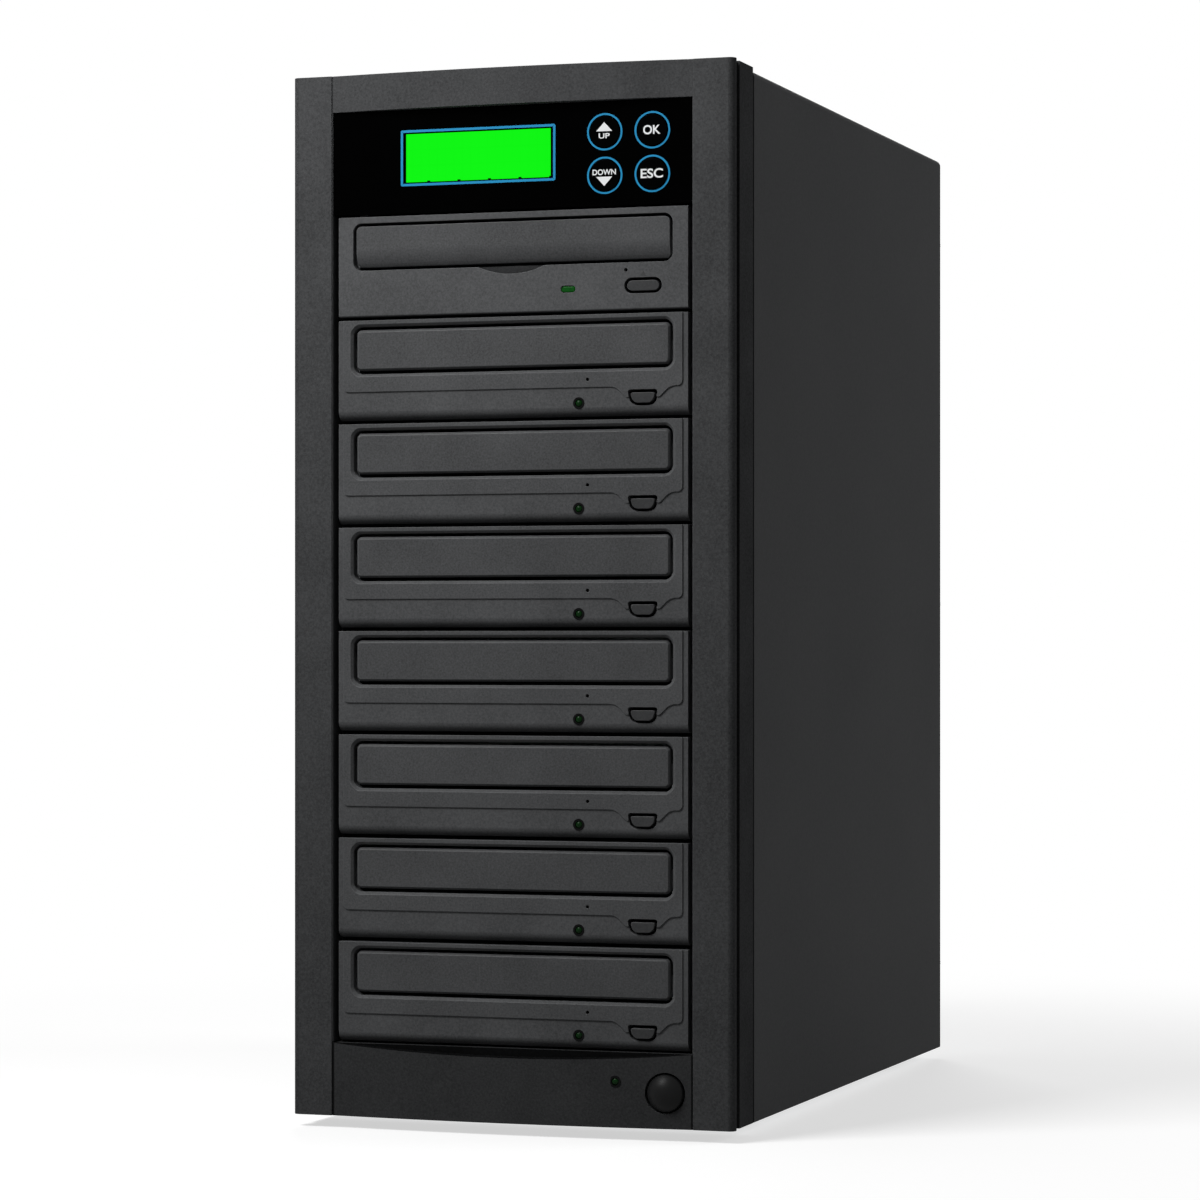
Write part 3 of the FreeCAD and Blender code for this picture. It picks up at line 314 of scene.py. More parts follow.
def foot_rubber():
    """Matt black rubber with a little dust in its grain."""
    f = new_finish("foot_rubber")
    place = f.place()
    grain = f.noise(place, 1500.0, 3.0, 0.6)
    dust = f.noise(place, 120.0, 4.0, 0.6)
    return f.surface(**{
        "Base Color": f.mix((dust - 0.4) * 0.9 + grain * 0.3, grey(0.018), grey(0.05)),
        "Roughness": 0.8 + dust.stray(0.2),
        "Specular IOR Level": 0.25,
        "Normal": f.relief(grain, 0.4, 0.05 * MM),
    })


def gloss_black(name, shade, roughness, specular):
    """Polished black moulding: almost no grain, a faint waviness and fine wiping marks."""
    f = new_finish(name)
    wave = f.noise(f.place(), 45.0, 2.0, 0.4)
    wipe = f.noise(f.place((900.0, 900.0, 120.0)), 1.0, 2.0, 0.5)
    amount = wave.stray(0.6) + 0.5 + f.worn() * 0.3
    return f.surface(**{
        "Base Color": f.mix(amount, grey(shade * 0.7), grey(shade * 1.3)),
        "Roughness": roughness + wipe.stray(0.1) + wave.stray(0.06),
        "Specular IOR Level": specular,
        "Normal": f.relief(wave + wipe * 0.15, 0.06, 0.04 * MM),
    })


GLASS_DEEP = 0.4 * MM
FRAME_EDGE = 4.1 * MM
CELL_WIDE = 3.6 * MM
CELL_TALL = 6.4 * MM
CELL_GAP_SIDE = 0.12
CELL_GAP_FOOT = 0.1
TICK_START = 17.3 * MM
TICK_PITCH = 13.2 * MM
TICK_WIDE = 1.3 * MM
TICK_TALL = 0.45 * MM
GLOW_DIM = (0.0040, 0.89, 0.0060, 1)
GLOW_FULL = (0.0056, 0.94, 0.0080, 1)
UNLIT = (0, 0, 0, 1)


def display_backlight():
    """Backlit green display: faint rows of character cells, small dark ticks along the foot."""
    f = new_finish("display_backlight")
    window_low = low("lcd_module").z + FRAME_EDGE
    left = low("lcd_module").x
    x, y, z = f.axes("X", "Y", "Z")
    face = y < low("lcd_module").y + GLASS_DEEP
    across = x.math("FRACT", (x - left) * (1 / CELL_WIDE))
    up = z.math("FRACT", (z - window_low) * (1 / CELL_TALL))
    cell = (across > CELL_GAP_SIDE) * (up > CELL_GAP_FOOT)
    start = left + TICK_START
    along = x.math("FRACT", (x - start) * (1 / TICK_PITCH))
    tick = (along < TICK_WIDE / TICK_PITCH) * (x > start) * (z < window_low + TICK_TALL)
    fall = f.noise(f.place(), 22.0, 1.0, 0.4)
    lit = f.mix(cell * 0.2 + fall.stray(0.4) + 0.4, GLOW_DIM, GLOW_FULL)
    return f.surface(**{
        "Base Color": f.mix(face, grey(0.03), (0, 0.001, 0, 1)),
        "Roughness": 0.4 + fall.stray(0.1),
        "Specular IOR Level": 0.005,
        "Emission Color": f.mix(face * (1 - tick), UNLIT, lit),
        "Emission Strength": 1.0,
    })


def circuit_board():
    """Green lacquered board with slightly raised tracks."""
    f = new_finish("circuit_board")
    track = f.noise(f.place((120.0, 1.0, 700.0)), 1.0, 1.0, 0.3)
    mask = f.band(track, 0.5, 0.53)
    glaze = f.noise(f.place(), 500.0, 2.0, 0.5)
    lacquer = f.mix(mask, (0.008, 0.06, 0.018, 1), (0.02, 0.13, 0.035, 1))
    return f.surface(**{
        "Base Color": f.mix(glaze * 0.3, lacquer, (0.015, 0.09, 0.03, 1)),
        "Roughness": 0.34 + glaze.stray(0.12),
        "Normal": f.relief(mask, 0.2, 0.04 * MM),
    })


def lamp_lens(name, dark, pale):
    """Unlit green lens: dark, with a paler swirl where the moulding is thick."""
    f = new_finish(name)
    swirl = f.noise(f.place(), 700.0, 2.0, 0.5)
    return f.surface(**{
        "Base Color": f.mix(swirl, dark, pale),
        "Roughness": 0.25 + swirl.stray(0.1),
        "Specular IOR Level": 0.06,
        "Normal": f.relief(swirl, 0.05, 0.02 * MM),
    })


def ink(name, colour):
    """Screen-printed ink, a little uneven in its film."""
    f = new_finish(name)
    film = f.noise(f.place(), 1500.0, 3.0, 0.6)
    thin = tuple(c * 0.86 for c in colour) + (1,)
    return f.surface(**{
        "Base Color": f.mix(film, thin, colour + (1,)),
        "Roughness": 0.45 + film.stray(0.15),
        "Specular IOR Level": 0.2,
        "Normal": f.relief(film, 0.1, 0.01 * MM),
    })


# Mouldings: shade, roughness, scale and depth of the grain, specular level
BEZEL = moulded_plastic("bezel_moulding", 0.056, 0.50, 2300.0, 0.07 * MM, 0.02, bezel_darker_panel_and_shadow)
BEZEL_EDGE = moulded_plastic("bezel_edge", 0.050, 0.60, 2300.0, 0.07 * MM, 0.0)
FASCIA = moulded_plastic("drive_front", 0.074, 0.50, 2700.0, 0.05 * MM, 0.08)
DOOR = moulded_plastic("tray_door", 0.068, 0.48, 2700.0, 0.05 * MM, 0.08)
EJECT = moulded_plastic("eject_cap", 0.038, 0.42, 2900.0, 0.04 * MM, 0.12)
TRAY = moulded_plastic("disc_tray", 0.045, 0.50, 2600.0, 0.05 * MM, 0.30)
SWITCH = moulded_plastic("switch_body", 0.050, 0.45, 2600.0, 0.04 * MM, 0.40)
INLET = moulded_plastic("inlet_moulding", 0.030, 0.42, 2400.0, 0.05 * MM, 0.40)
FAN = moulded_plastic("fan_moulding", 0.030, 0.45, 2200.0, 0.05 * MM, 0.40)
COVER = powder_coat()
ZINC = zinc_sheet()
SCREW = screw_plating()
RUBBER = foot_rubber()
# Polished pieces: shade, roughness, specular level
PANEL = gloss_black("panel_plate", 0.0004, 0.16, 0.004)
KEY = gloss_black("key_cap", 0.0006, 0.18, 0.006)
BUTTON = gloss_black("power_cap", 0.006, 0.42, 0.09)
DISPLAY = display_backlight()
BOARD = circuit_board()
LAMP = lamp_lens("lamp_lens", (0.0006, 0.010, 0.0010, 1), (0.0012, 0.030, 0.0024, 1))
PALE_LAMP = lamp_lens("pale_lamp_lens", (0.0016, 0.044, 0.0032, 1), (0.004, 0.078, 0.007, 1))
BLUE = ink("line_blue", (0.004, 0.25, 0.50))
WHITE = ink("legend_white", (0.84, 0.85, 0.86))
SHADE = ink("legend_grey", (0.040, 0.041, 0.042))
# Near-black ring round each round lamp: painted shade for the lens's recess
LAMP_SHADE_RING = gloss_black("lamp_ring_painted_shade", 0.003, 0.35, 0.05)
# Near-black matt finish laid in gaps and hollows as painted shade
PAINTED_SHADE = moulded_plastic("painted_shade_black", 0.006, 0.90, 1500.0, 0.20 * MM, 0.0)

NODE_FINISH = {
    "front_bezel": (BEZEL, "bezel_plastic"),
    "cover": (COVER, "cover_paint"),
    "chassis": (ZINC, "zinc_steel"),
    "drive_cage": (ZINC, "zinc_steel"),
    "drive_housings": (ZINC, "zinc_steel"),
    "psu_case": (ZINC, "zinc_steel"),
    "cover_screws": (SCREW, "screw_steel"),
    "feet": (RUBBER, "foot_rubber"),
    "control_panel": (PANEL, "panel_gloss"),
    "lcd_module": (DISPLAY, "display_glow"),
    "controller_board": (BOARD, "board_green"),
    "power_button": (BUTTON, "button_gloss"),
    "power_switch": (SWITCH, "switch_plastic"),
    "psu_inlet": (INLET, "inlet_plastic"),
    "rocker_frame": (INLET, "inlet_plastic"),
    "psu_rocker": (INLET, "inlet_plastic"),
    "indicator_lamps": (LAMP, "lamp_green"),
}
for fan in FANS:
    for part in ("frame", "rotor"):
        NODE_FINISH[f"{fan}_{part}"] = (FAN, "fan_plastic")
for key in KEYS:
    NODE_FINISH[f"key_{key}"] = (KEY, "key_gloss")
for drive in DRIVES:
    NODE_FINISH[f"drive_{drive}_fascia"] = (FASCIA, "fascia_plastic")
    NODE_FINISH[f"drive_{drive}_tray"] = (TRAY, "tray_plastic")
    NODE_FINISH[f"drive_{drive}_tray_door"] = (DOOR, "door_plastic")
    NODE_FINISH[f"drive_{drive}_eject_button"] = (EJECT, "eject_plastic")

for name, (finish, _) in NODE_FINISH.items():
    mesh = nodes[name].data
    mesh.materials.clear()
    mesh.materials.append(finish)


# Making pieces

FLAT_WITHIN = math.radians(1)
CORNER_OVER = math.radians(20)
SHARP_OVER = math.radians(30)
SMOOTH_UNDER = math.radians(40)


def finished(name, bm, finish, body, stands_for=()):
    """Turns a bmesh into a piece that rides on a body."""
    mesh = bpy.data.meshes.new(name)
    bm.to_mesh(mesh)
    bm.free()
    mesh.shade_smooth()
    mesh.set_sharp_from_angle(angle=SMOOTH_UNDER)
    mesh.materials.append(finish)
    piece = bpy.data.objects.new(name, mesh)
    scene.collection.objects.link(piece)
    even = piece.modifiers.new("even_shading", "WEIGHTED_NORMAL")
    even.keep_sharp = True
    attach(piece, body)
    if stands_for:
        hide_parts(*stands_for)
    return piece


def only_verts(geom):
    """The vertices in what an operator hands back."""
    return [item for item in geom if isinstance(item, bmesh.types.BMVert)]


def take_in(bm, other):
    """Adds another shape to a bmesh."""
    mesh = bpy.data.meshes.new("passing")
    other.to_mesh(mesh)
    other.free()
    bm.from_mesh(mesh)
    bpy.data.meshes.remove(mesh)


def join_flats(bm):
    """Joins the triangles of each flat into one face."""
    bmesh.ops.dissolve_limit(
        bm, angle_limit=FLAT_WITHIN, verts=bm.verts, edges=bm.edges, use_dissolve_boundaries=False)


def merged(node):
    """A node's shape as whole faces, from its loose triangles."""
    bm = bmesh.new()
    bm.from_mesh(nodes[node].data)
    bmesh.ops.remove_doubles(bm, verts=bm.verts, dist=MERGE)
    join_flats(bm)
    return bm


def solids_in(node):
    """The (lowest, highest) corners of each separate solid in a node, in a fixed order."""
    bm = merged(node)
    left = set(bm.verts)
    boxes = []
    while left:
        reach = [left.pop()]
        found = []
        while reach:
            vert = reach.pop()
            found.append(vert.co)
            near = {edge.other_vert(vert) for edge in vert.link_edges} & left
            left -= near
            reach.extend(near)
        boxes.append([Vector(pick(co[axis] for co in found) for axis in range(3)) for pick in (min, max)])
    bm.free()
    return sorted(boxes, key=lambda box: tuple(box[0]))


def seat_of(box, depth):
    """The middle of a solid as seen from the front, at a depth."""
    first, last = box
    return Vector(((first.x + last.x) / 2, depth, (first.z + last.z) / 2))


def bevel(bm, edges, width, segments):
    made = bmesh.ops.bevel(
        bm, geom=edges, offset=width, offset_type="OFFSET", segments=segments, profile=0.5,
        affect="EDGES", material=-1, clamp_overlap=False)
    return made["faces"]


def is_sharp(edge, least):
    return edge.is_manifold and edge.calc_face_angle() > least


def soften(bm, width, segments=2):
    """Breaks the sharp edges of a shape and marks the new faces as rubbed."""
    rubbed = bm.faces.layers.float.new("edge")
    sharp = [edge for edge in bm.edges if is_sharp(edge, SHARP_OVER)]
    for face in bevel(bm, sharp, width, segments):
        face[rubbed] = 1.0


SQUARE_ON = 0.99999
RUNS_BACK = 0.6
CORNER_SHARE = 0.4
CORNER_STEP = 0.05 * MM
CORNER_SEGMENTS = 4


def open_fronts(bm):
    """Takes away the faces that look straight to the front or the back."""
    looking = [face for face in bm.faces if abs(face.normal.y) > SQUARE_ON]
    bmesh.ops.delete(bm, geom=looking, context="FACES")


def close_fronts(bm):
    """Fills the openings in each plane again, round their holes."""
    planes = {}
    for edge in bm.edges:
        if edge.is_boundary:
            planes.setdefault(round(edge.verts[0].co.y / CORNER_STEP), []).append(edge)
    for edges in planes.values():
        bmesh.ops.triangle_fill(bm, edges=edges, use_beauty=True, use_dissolve=False, normal=(0, -1, 0))
    bmesh.ops.recalc_face_normals(bm, faces=bm.faces)
    join_flats(bm)


def round_corners(bm, most, outline=False):
    """Rounds the corners that run from front to back, as far as their neighbours allow."""
    limits = [
        (axis, pick(vert.co[axis] for vert in bm.verts)) for axis in (0, 2) for pick in (min, max)
    ]

    def on_outline(vert):
        return any(abs(vert.co[axis] - limit) < NEAR for axis, limit in limits)

    def is_corner(edge):
        along = edge.verts[1].co - edge.verts[0].co
        runs_back = abs(along.y) > RUNS_BACK * along.length
        inside = outline or not all(on_outline(vert) for vert in edge.verts)
        return runs_back and inside and is_sharp(edge, CORNER_OVER)

    open_fronts(bm)
    corners = {edge for edge in bm.edges if is_corner(edge)}
    reach = {}
    for edge in corners:
        near = {other for vert in edge.verts for other in vert.link_edges} - corners
        reach[edge] = min([most] + [CORNER_SHARE * other.calc_length() for other in near])
    groups = {}
    for edge in corners:
        chain = {other for vert in edge.verts for other in vert.link_edges} & corners
        width = min(reach[other] for other in chain)
        groups.setdefault(round(width / CORNER_STEP), []).append(edge)
    for step, edges in sorted(groups.items()):
        bevel(bm, edges, step * CORNER_STEP, CORNER_SEGMENTS)
    close_fronts(bm)


SCOOP_HALF = 15 * MM
SCOOP_DEEP = 2.5 * MM
SCOOP_LEAN = 0.65


def lean_scoop(bm):
    """Leans the floor of the reader's finger scoop, so that it turns down under the door."""
    depth = low("drive_1_fascia").y + SCOOP_DEEP
    floor = [v for v in bm.verts if abs(v.co.x) < SCOOP_HALF and abs(v.co.y - depth) < NEAR]
    foot = min(vert.co.z for vert in floor)
    lean = Matrix(((1, 0, 0, 0), (0, 1, -SCOOP_LEAN, SCOOP_LEAN * foot), (0, 0, 1, 0), (0, 0, 0, 1)))
    bmesh.ops.transform(bm, matrix=lean, verts=floor)


def eased(node, edge, corners=0.0, outline=False, trim=0.0, reshape=None):
    """The node with its corners rounded and its sharp edges broken, as a mould leaves them.
    A trim draws the outline in, which leaves a wider gap round the piece."""
    bm = merged(node)
    if corners:
        round_corners(bm, corners, outline)
    if reshape:
        reshape(bm)
    if trim:
        size = high(node) - low(node)
        about = Matrix.Translation(-middle(node))
        share = (1 - 2 * trim / size.x, 1, 1 - 2 * trim / size.z)
        bmesh.ops.scale(bm, vec=share, space=about, verts=bm.verts)
    soften(bm, edge)
    finish, slot = NODE_FINISH[node]
    return finished(f"{node}_eased", bm, finish, nodes[node]["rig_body"], [node])


COARSE_TURN = 32
TURN = 48
FINE_TURN = 64
CROWN_STEPS = 10


def turned(profile, steps=TURN):
    """A shape turned about the Y axis from (radius, depth) points; open ends are closed flat."""
    bm = bmesh.new()
    verts = [bm.verts.new((radius, depth, 0)) for radius, depth in profile]
    wire = [bm.edges.new(ends) for ends in zip(verts, verts[1:])]
    bmesh.ops.spin(
        bm, geom=verts + wire, axis=(0, 1, 0), cent=(0, 0, 0), angle=math.tau, steps=steps,
        use_merge=True)
    bmesh.ops.remove_doubles(bm, verts=bm.verts, dist=MERGE)
    bmesh.ops.holes_fill(bm, edges=[edge for edge in bm.edges if edge.is_boundary], sides=0)
    bmesh.ops.recalc_face_normals(bm, faces=bm.faces)
    return bm


def crown(radius, rise, front):
    """Profile of a spherical crown, from its middle at the front out to its rim."""
    ball = (radius ** 2 + rise ** 2) / (2 * rise)
    reach = [radius * n / CROWN_STEPS for n in range(CROWN_STEPS + 1)]
    return [(r, front + ball - math.sqrt(ball ** 2 - r ** 2)) for r in reach]


def repeated(bm, places, turn=Matrix()):
    """Copies of a shape, turned and set down at each place."""
    master = bm.verts[:] + bm.edges[:] + bm.faces[:]
    for place in places:
        made = bmesh.ops.duplicate(bm, geom=master)["geom"]
        bmesh.ops.transform(bm, matrix=Matrix.Translation(place) @ turn, verts=only_verts(made))
    bmesh.ops.delete(bm, geom=only_verts(master), context="VERTS")
    return bm


# Turns for flat shapes and screws; the first also stands a turned shape upright
TO_FRONT = Matrix.Rotation(math.radians(90), 4, "X")
TO_REAR = Matrix.Rotation(math.radians(-90), 4, "X")
HALF_TURN = Matrix.Rotation(math.radians(180), 4, "Z")


def facing_front(x, y, z):
    """Stands a flat shape up at a place, so that it looks to the front."""
    return Matrix.Translation((x, y, z)) @ TO_FRONT


PAD_SEGMENTS = 6


def flat(corners):
    """One flat face in the XY plane, looking up."""
    bm = bmesh.new()
    bm.faces.new([bm.verts.new((x, y, 0)) for x, y in corners])
    return bm


def pad(width, tall, radius):
    """A flat rectangle with rounded corners."""
    x, y = width / 2, tall / 2
    bm = flat([(-x, -y), (x, -y), (x, y), (-x, y)])
    bmesh.ops.bevel(
        bm, geom=bm.verts[:], offset=radius, offset_type="OFFSET", segments=PAD_SEGMENTS, profile=0.5,
        affect="VERTICES", material=-1)
    bmesh.ops.remove_doubles(bm, verts=bm.verts, dist=MERGE)
    return bm


def disc(radius, segments=FINE_TURN):
    """A flat round face."""
    bm = bmesh.new()
    bmesh.ops.create_circle(bm, cap_ends=True, segments=segments, radius=radius)
    return bm


def keep_line(bm, width):
    """Leaves only a line of the given width along a flat face's outline."""
    inner = bm.faces[:]
    bmesh.ops.inset_region(bm, faces=inner, thickness=width, use_boundary=True, use_even_offset=True)
    bmesh.ops.delete(bm, geom=inner, context="FACES")
    return bm


def thicken(bm, thick):
    """Raises flat faces into a slab."""
    made = bmesh.ops.extrude_face_region(bm, geom=bm.faces[:], use_keep_orig=True)["geom"]
    bmesh.ops.translate(bm, vec=(0, 0, thick), verts=only_verts(made))
    bmesh.ops.recalc_face_normals(bm, faces=bm.faces)
    return bm


LETTER_WEIGHT = 0.02
PRINT_THICK = 0.06 * MM


def words(text, width, tall):
    """Lettering as flat faces, fitted to a width and height about its middle."""
    curve = bpy.data.curves.new(text, "FONT")
    curve.body = text
    curve.offset = LETTER_WEIGHT
    sample = bpy.data.objects.new(text, curve)
    mesh = bpy.data.meshes.new_from_object(sample)
    bm = bmesh.new()
    bm.from_mesh(mesh)
    bpy.data.objects.remove(sample)
    bpy.data.meshes.remove(mesh)
    bmesh.ops.remove_doubles(bm, verts=bm.verts, dist=MERGE)
    spans = [(min(v.co[axis] for v in bm.verts), max(v.co[axis] for v in bm.verts)) for axis in (0, 1)]
    centre = Vector((-sum(spans[0]) / 2, -sum(spans[1]) / 2, 0))
    bmesh.ops.translate(bm, vec=centre, verts=bm.verts)
    size = (width / (spans[0][1] - spans[0][0]), tall / (spans[1][1] - spans[1][0]), 1)
    bmesh.ops.scale(bm, vec=size, verts=bm.verts)
    return bm


def printed(name, bm, matrix, finish, body):
    """A film of ink on a surface."""
    thicken(bm, PRINT_THICK)
    bmesh.ops.transform(bm, matrix=matrix, verts=bm.verts)
    finished(name, bm, finish, body)


def cross_recess(bm, wide, span, depth):
    """Sinks a driver's cross into the flat face that lies furthest forward."""
    front = min(vert.co.y for vert in bm.verts)

    def top():
        return [face for face in bm.faces if all(abs(vert.co.y - front) < MERGE for vert in face.verts)]

    for axis in (Vector((1, 0, 0)), Vector((0, 0, 1))):
        for offset in (-span / 2, -wide / 2, wide / 2, span / 2):
            faces = top()
            edges = {edge for face in faces for edge in face.edges}
            verts = {vert for face in faces for vert in face.verts}
            bmesh.ops.bisect_plane(
                bm, geom=[*faces, *edges, *verts], dist=MERGE, plane_co=axis * offset, plane_no=axis)

    def in_cross(face):
        spot = face.calc_center_median()
        near, far = sorted((abs(spot.x), abs(spot.z)))
        return near < wide / 2 and far < span / 2

    made = bmesh.ops.extrude_face_region(bm, geom=[face for face in top() if in_cross(face)])["geom"]
    bmesh.ops.translate(bm, vec=(0, depth, 0), verts=only_verts(made))


# Mouldings and sheet metal that keep the frame's own shapes

FASCIA_TRIM = 0.2 * MM

bezel = eased("front_bezel", edge=0.15 * MM)
eased("cover", edge=0.3 * MM)
eased("chassis", edge=0.15 * MM)
eased("psu_case", edge=0.2 * MM)
eased("control_panel", edge=0.12 * MM)
eased("psu_inlet", edge=0.3 * MM, corners=1.6 * MM, outline=True)
eased("rocker_frame", edge=0.3 * MM, corners=1.2 * MM, outline=True)
eased("psu_rocker", edge=0.3 * MM)
for fan in FANS:
    eased(f"{fan}_frame", edge=0.4 * MM)
    eased(f"{fan}_rotor", edge=0.2 * MM)
for key in KEYS:
    eased(f"key_{key}", edge=0.3 * MM)
for drive in DRIVES:
    scoop = lean_scoop if drive == 1 else None
    eased(f"drive_{drive}_fascia", edge=0.18 * MM, corners=2.2 * MM, trim=FASCIA_TRIM, reshape=scoop)
    eased(f"drive_{drive}_tray_door", edge=0.25 * MM, corners=1.0 * MM, outline=True, trim=0.25 * MM)
    eased(f"drive_{drive}_eject_button", edge=0.3 * MM, corners=1.2 * MM, outline=True, trim=0.5 * MM)
    eased(f"drive_{drive}_tray", edge=0.3 * MM)


# Near-black strips as painted shade behind the doors' lower edges, in the drives' joints and in the
# cover's seam, near-black on the bezel's hollow as painted shade, and the bezel's dull edges

SHADE_STRIP_THICK = 0.5 * MM
SHADE_STRIP_CORNER = 0.3 * MM
SHADE_STRIP_ABOVE = 0.8 * MM
SHADE_STRIP_BELOW = 1.6 * MM
SEAM_SHADE_SIDE = 1.6 * MM
SEAM_SHADE_INSET = 0.7 * MM
HOLLOW_DROP = 4.5 * MM
HOLLOW_DEEP = 6 * MM
STILE_FLAT = 92.3 * MM
PAINTED_SHADE_INDEX = 1
EDGE_INDEX = 2


def shade_strips(name, node, spans):
    """Near-black strips as wide as a node on the front of the housings, each from one height to another:
    painted shade in the gaps.
    """
    back = low("drive_housings").y
    width = high(node).x - low(node).x
    bm = bmesh.new()
    for foot, head in spans:
        strip = thicken(pad(width, head - foot, SHADE_STRIP_CORNER), SHADE_STRIP_THICK)
        place = facing_front(0, back, (foot + head) / 2)
        bmesh.ops.transform(strip, matrix=place, verts=strip.verts)
        take_in(bm, strip)
    finished(name, bm, PAINTED_SHADE, "case")


def door_shade_strips():
    """A near-black strip behind the lower edge of each door: painted shade in the gap under it."""
    feet = [low(f"drive_{drive}_tray_door").z for drive in DRIVES]
    shade_strips("door_shade_strips", "drive_1_tray_door", [(z - SHADE_STRIP_BELOW, z + SHADE_STRIP_ABOVE) for z in feet])


def joint_shade_strips():
    """One near-black strip between each two drives, half a strip over the first and under the last:
    painted shade in the joints.
    """
    heads = [high(f"drive_{drive}_fascia").z - FASCIA_TRIM for drive in DRIVES]
    feet = [low(f"drive_{drive}_fascia").z + FASCIA_TRIM for drive in DRIVES]
    half = (feet[0] - heads[1]) / 2
    spans = list(zip(heads[1:], feet)) + [(heads[0], heads[0] + half), (feet[-1] - half, feet[-1])]
    shade_strips("joint_shade_strips", "drive_1_fascia", spans)


def seam_shade_strip():
    """A near-black strip that closes the seam between the bezel and the cover from inside, up, over and
    down: painted shade in the seam.
    """
    back = low("cover").y
    foot, head = low("cover").z + SEAM_SHADE_INSET, high("cover").z - SEAM_SHADE_INSET
    out = high("cover").x - SEAM_SHADE_INSET
    inner = out - SEAM_SHADE_SIDE
    bm = flat([
        (-out, foot), (-inner, foot), (-inner, head - SEAM_SHADE_SIDE), (inner, head - SEAM_SHADE_SIDE),
        (inner, foot), (out, foot), (out, head), (-out, head),
    ])
    thicken(bm, back - high("front_bezel").y)
    bmesh.ops.transform(bm, matrix=facing_front(0, back, 0), verts=bm.verts)
    finished("seam_shade_strip", bm, PAINTED_SHADE, "case")


def dress_bezel():
    """Painted shade on the hollow between the lower panel's dipped edge and the lowest drive, and a dull
    finish outside the stiles.
    """
    mesh = bezel.data
    mesh.materials.append(PAINTED_SHADE)
    mesh.materials.append(BEZEL_EDGE)
    chin = low("drive_8_fascia")
    for face in mesh.polygons:
        corners = [mesh.vertices[index].co for index in face.vertices]
        # Faces of the hollow over the lower panel take the near-black finish: painted shade
        between = all(chin.z - HOLLOW_DROP < corner.z < chin.z for corner in corners)
        if between and abs(face.center.x) < -chin.x and face.center.y < chin.y + HOLLOW_DEEP:
            face.material_index = PAINTED_SHADE_INDEX
        elif all(abs(corner.x) > STILE_FLAT for corner in corners):
            face.material_index = EDGE_INDEX


door_shade_strips()
joint_shade_strips()
seam_shade_strip()
dress_bezel()


# Power button: a glossy dome on a round plate, with its stem

DOME_RADIUS = 7.5 * MM
DOME_RISE = 3.6 * MM
DOME_EDGE = 0.4 * MM
PLATE_THICK = 1.5 * MM
STEM_RADIUS = 4 * MM
STEM_LONG = 5 * MM


def power_button():
    """Turned from one profile and set in the lower panel."""
    centre = middle("power_button")
    front = low("power_button").y
    back = high("power_button").y
    plate = (high("power_button").x - low("power_button").x) / 2
    plate_y = back - STEM_LONG - PLATE_THICK
    profile = crown(DOME_RADIUS, DOME_RISE, front) + [
        (DOME_RADIUS, plate_y),
        (plate, plate_y),
        (plate, plate_y + PLATE_THICK),
        (STEM_RADIUS, plate_y + PLATE_THICK),
        (STEM_RADIUS, back),
    ]
    bm = turned(profile, FINE_TURN)
    soften(bm, DOME_EDGE, segments=3)
    bmesh.ops.translate(bm, vec=(centre.x, 0, centre.z), verts=bm.verts)
    finished("power_button_dome", bm, BUTTON, "press_power", ["power_button"])


power_button()


# Lamps: domed lenses in the writers and the lower panel, a long one in the reader

LENS_RISE = 0.7 * MM
LENS_RADIUS = 1.5 * MM
LENS_FLANGE = 1.7 * MM
LENS_STEP = 1.0 * MM
LAMP_SHADE_RING_OUTER = 2.4 * MM
LAMP_SHADE_RING_LINE = 0.85 * MM
LAMP_SHADE_RING_THICK = 0.15 * MM
LAMP_SHADE_RING_FORWARD = 0.35 * MM
LONG_LENS_ROUND = 0.45
LONG_LENS_EDGE = 0.5 * MM


def lamp_lenses():
    """A stepped, domed lens for each round lamp in a flat near-black ring of painted shade, and a rounded
    bar for the long one.
    """
    solids = solids_in("indicator_lamps")
    long_lens = max(solids, key=lambda box: box[1].x - box[0].x)
    solids.remove(long_lens)
    depth = min(box[1].y - box[0].y for box in solids)
    step = [(LENS_RADIUS, LENS_STEP), (LENS_FLANGE, LENS_STEP), (LENS_FLANGE, depth)]
    lens = turned(crown(LENS_RADIUS, LENS_RISE, -LENS_RISE) + step, COARSE_TURN)
    places = [seat_of(box, box[0].y) for box in solids]
    finished("lamp_lenses", repeated(lens, places), LAMP, "case", ["indicator_lamps"])
    # A flat near-black ring round each lens, painted shade for its recess
    collar = thicken(keep_line(disc(LAMP_SHADE_RING_OUTER), LAMP_SHADE_RING_LINE), LAMP_SHADE_RING_THICK)
    seats = [place - Vector((0, LAMP_SHADE_RING_FORWARD, 0)) for place in places]
    finished("lamp_shade_rings", repeated(collar, seats, TO_FRONT), LAMP_SHADE_RING, "case")

    first, last = long_lens
    size = last - first
    bm = thicken(pad(size.x, size.z, size.z * LONG_LENS_ROUND), size.y + LENS_RISE / 2)
    bmesh.ops.transform(bm, matrix=facing_front(*seat_of(long_lens, last.y)), verts=bm.verts)
    soften(bm, LONG_LENS_EDGE, segments=4)
    finished("long_lamp_lens", bm, PALE_LAMP, "case")


lamp_lenses()


# Prints: blue lines on the panel, white legends on the keys and the rocker, grey mark on the reader

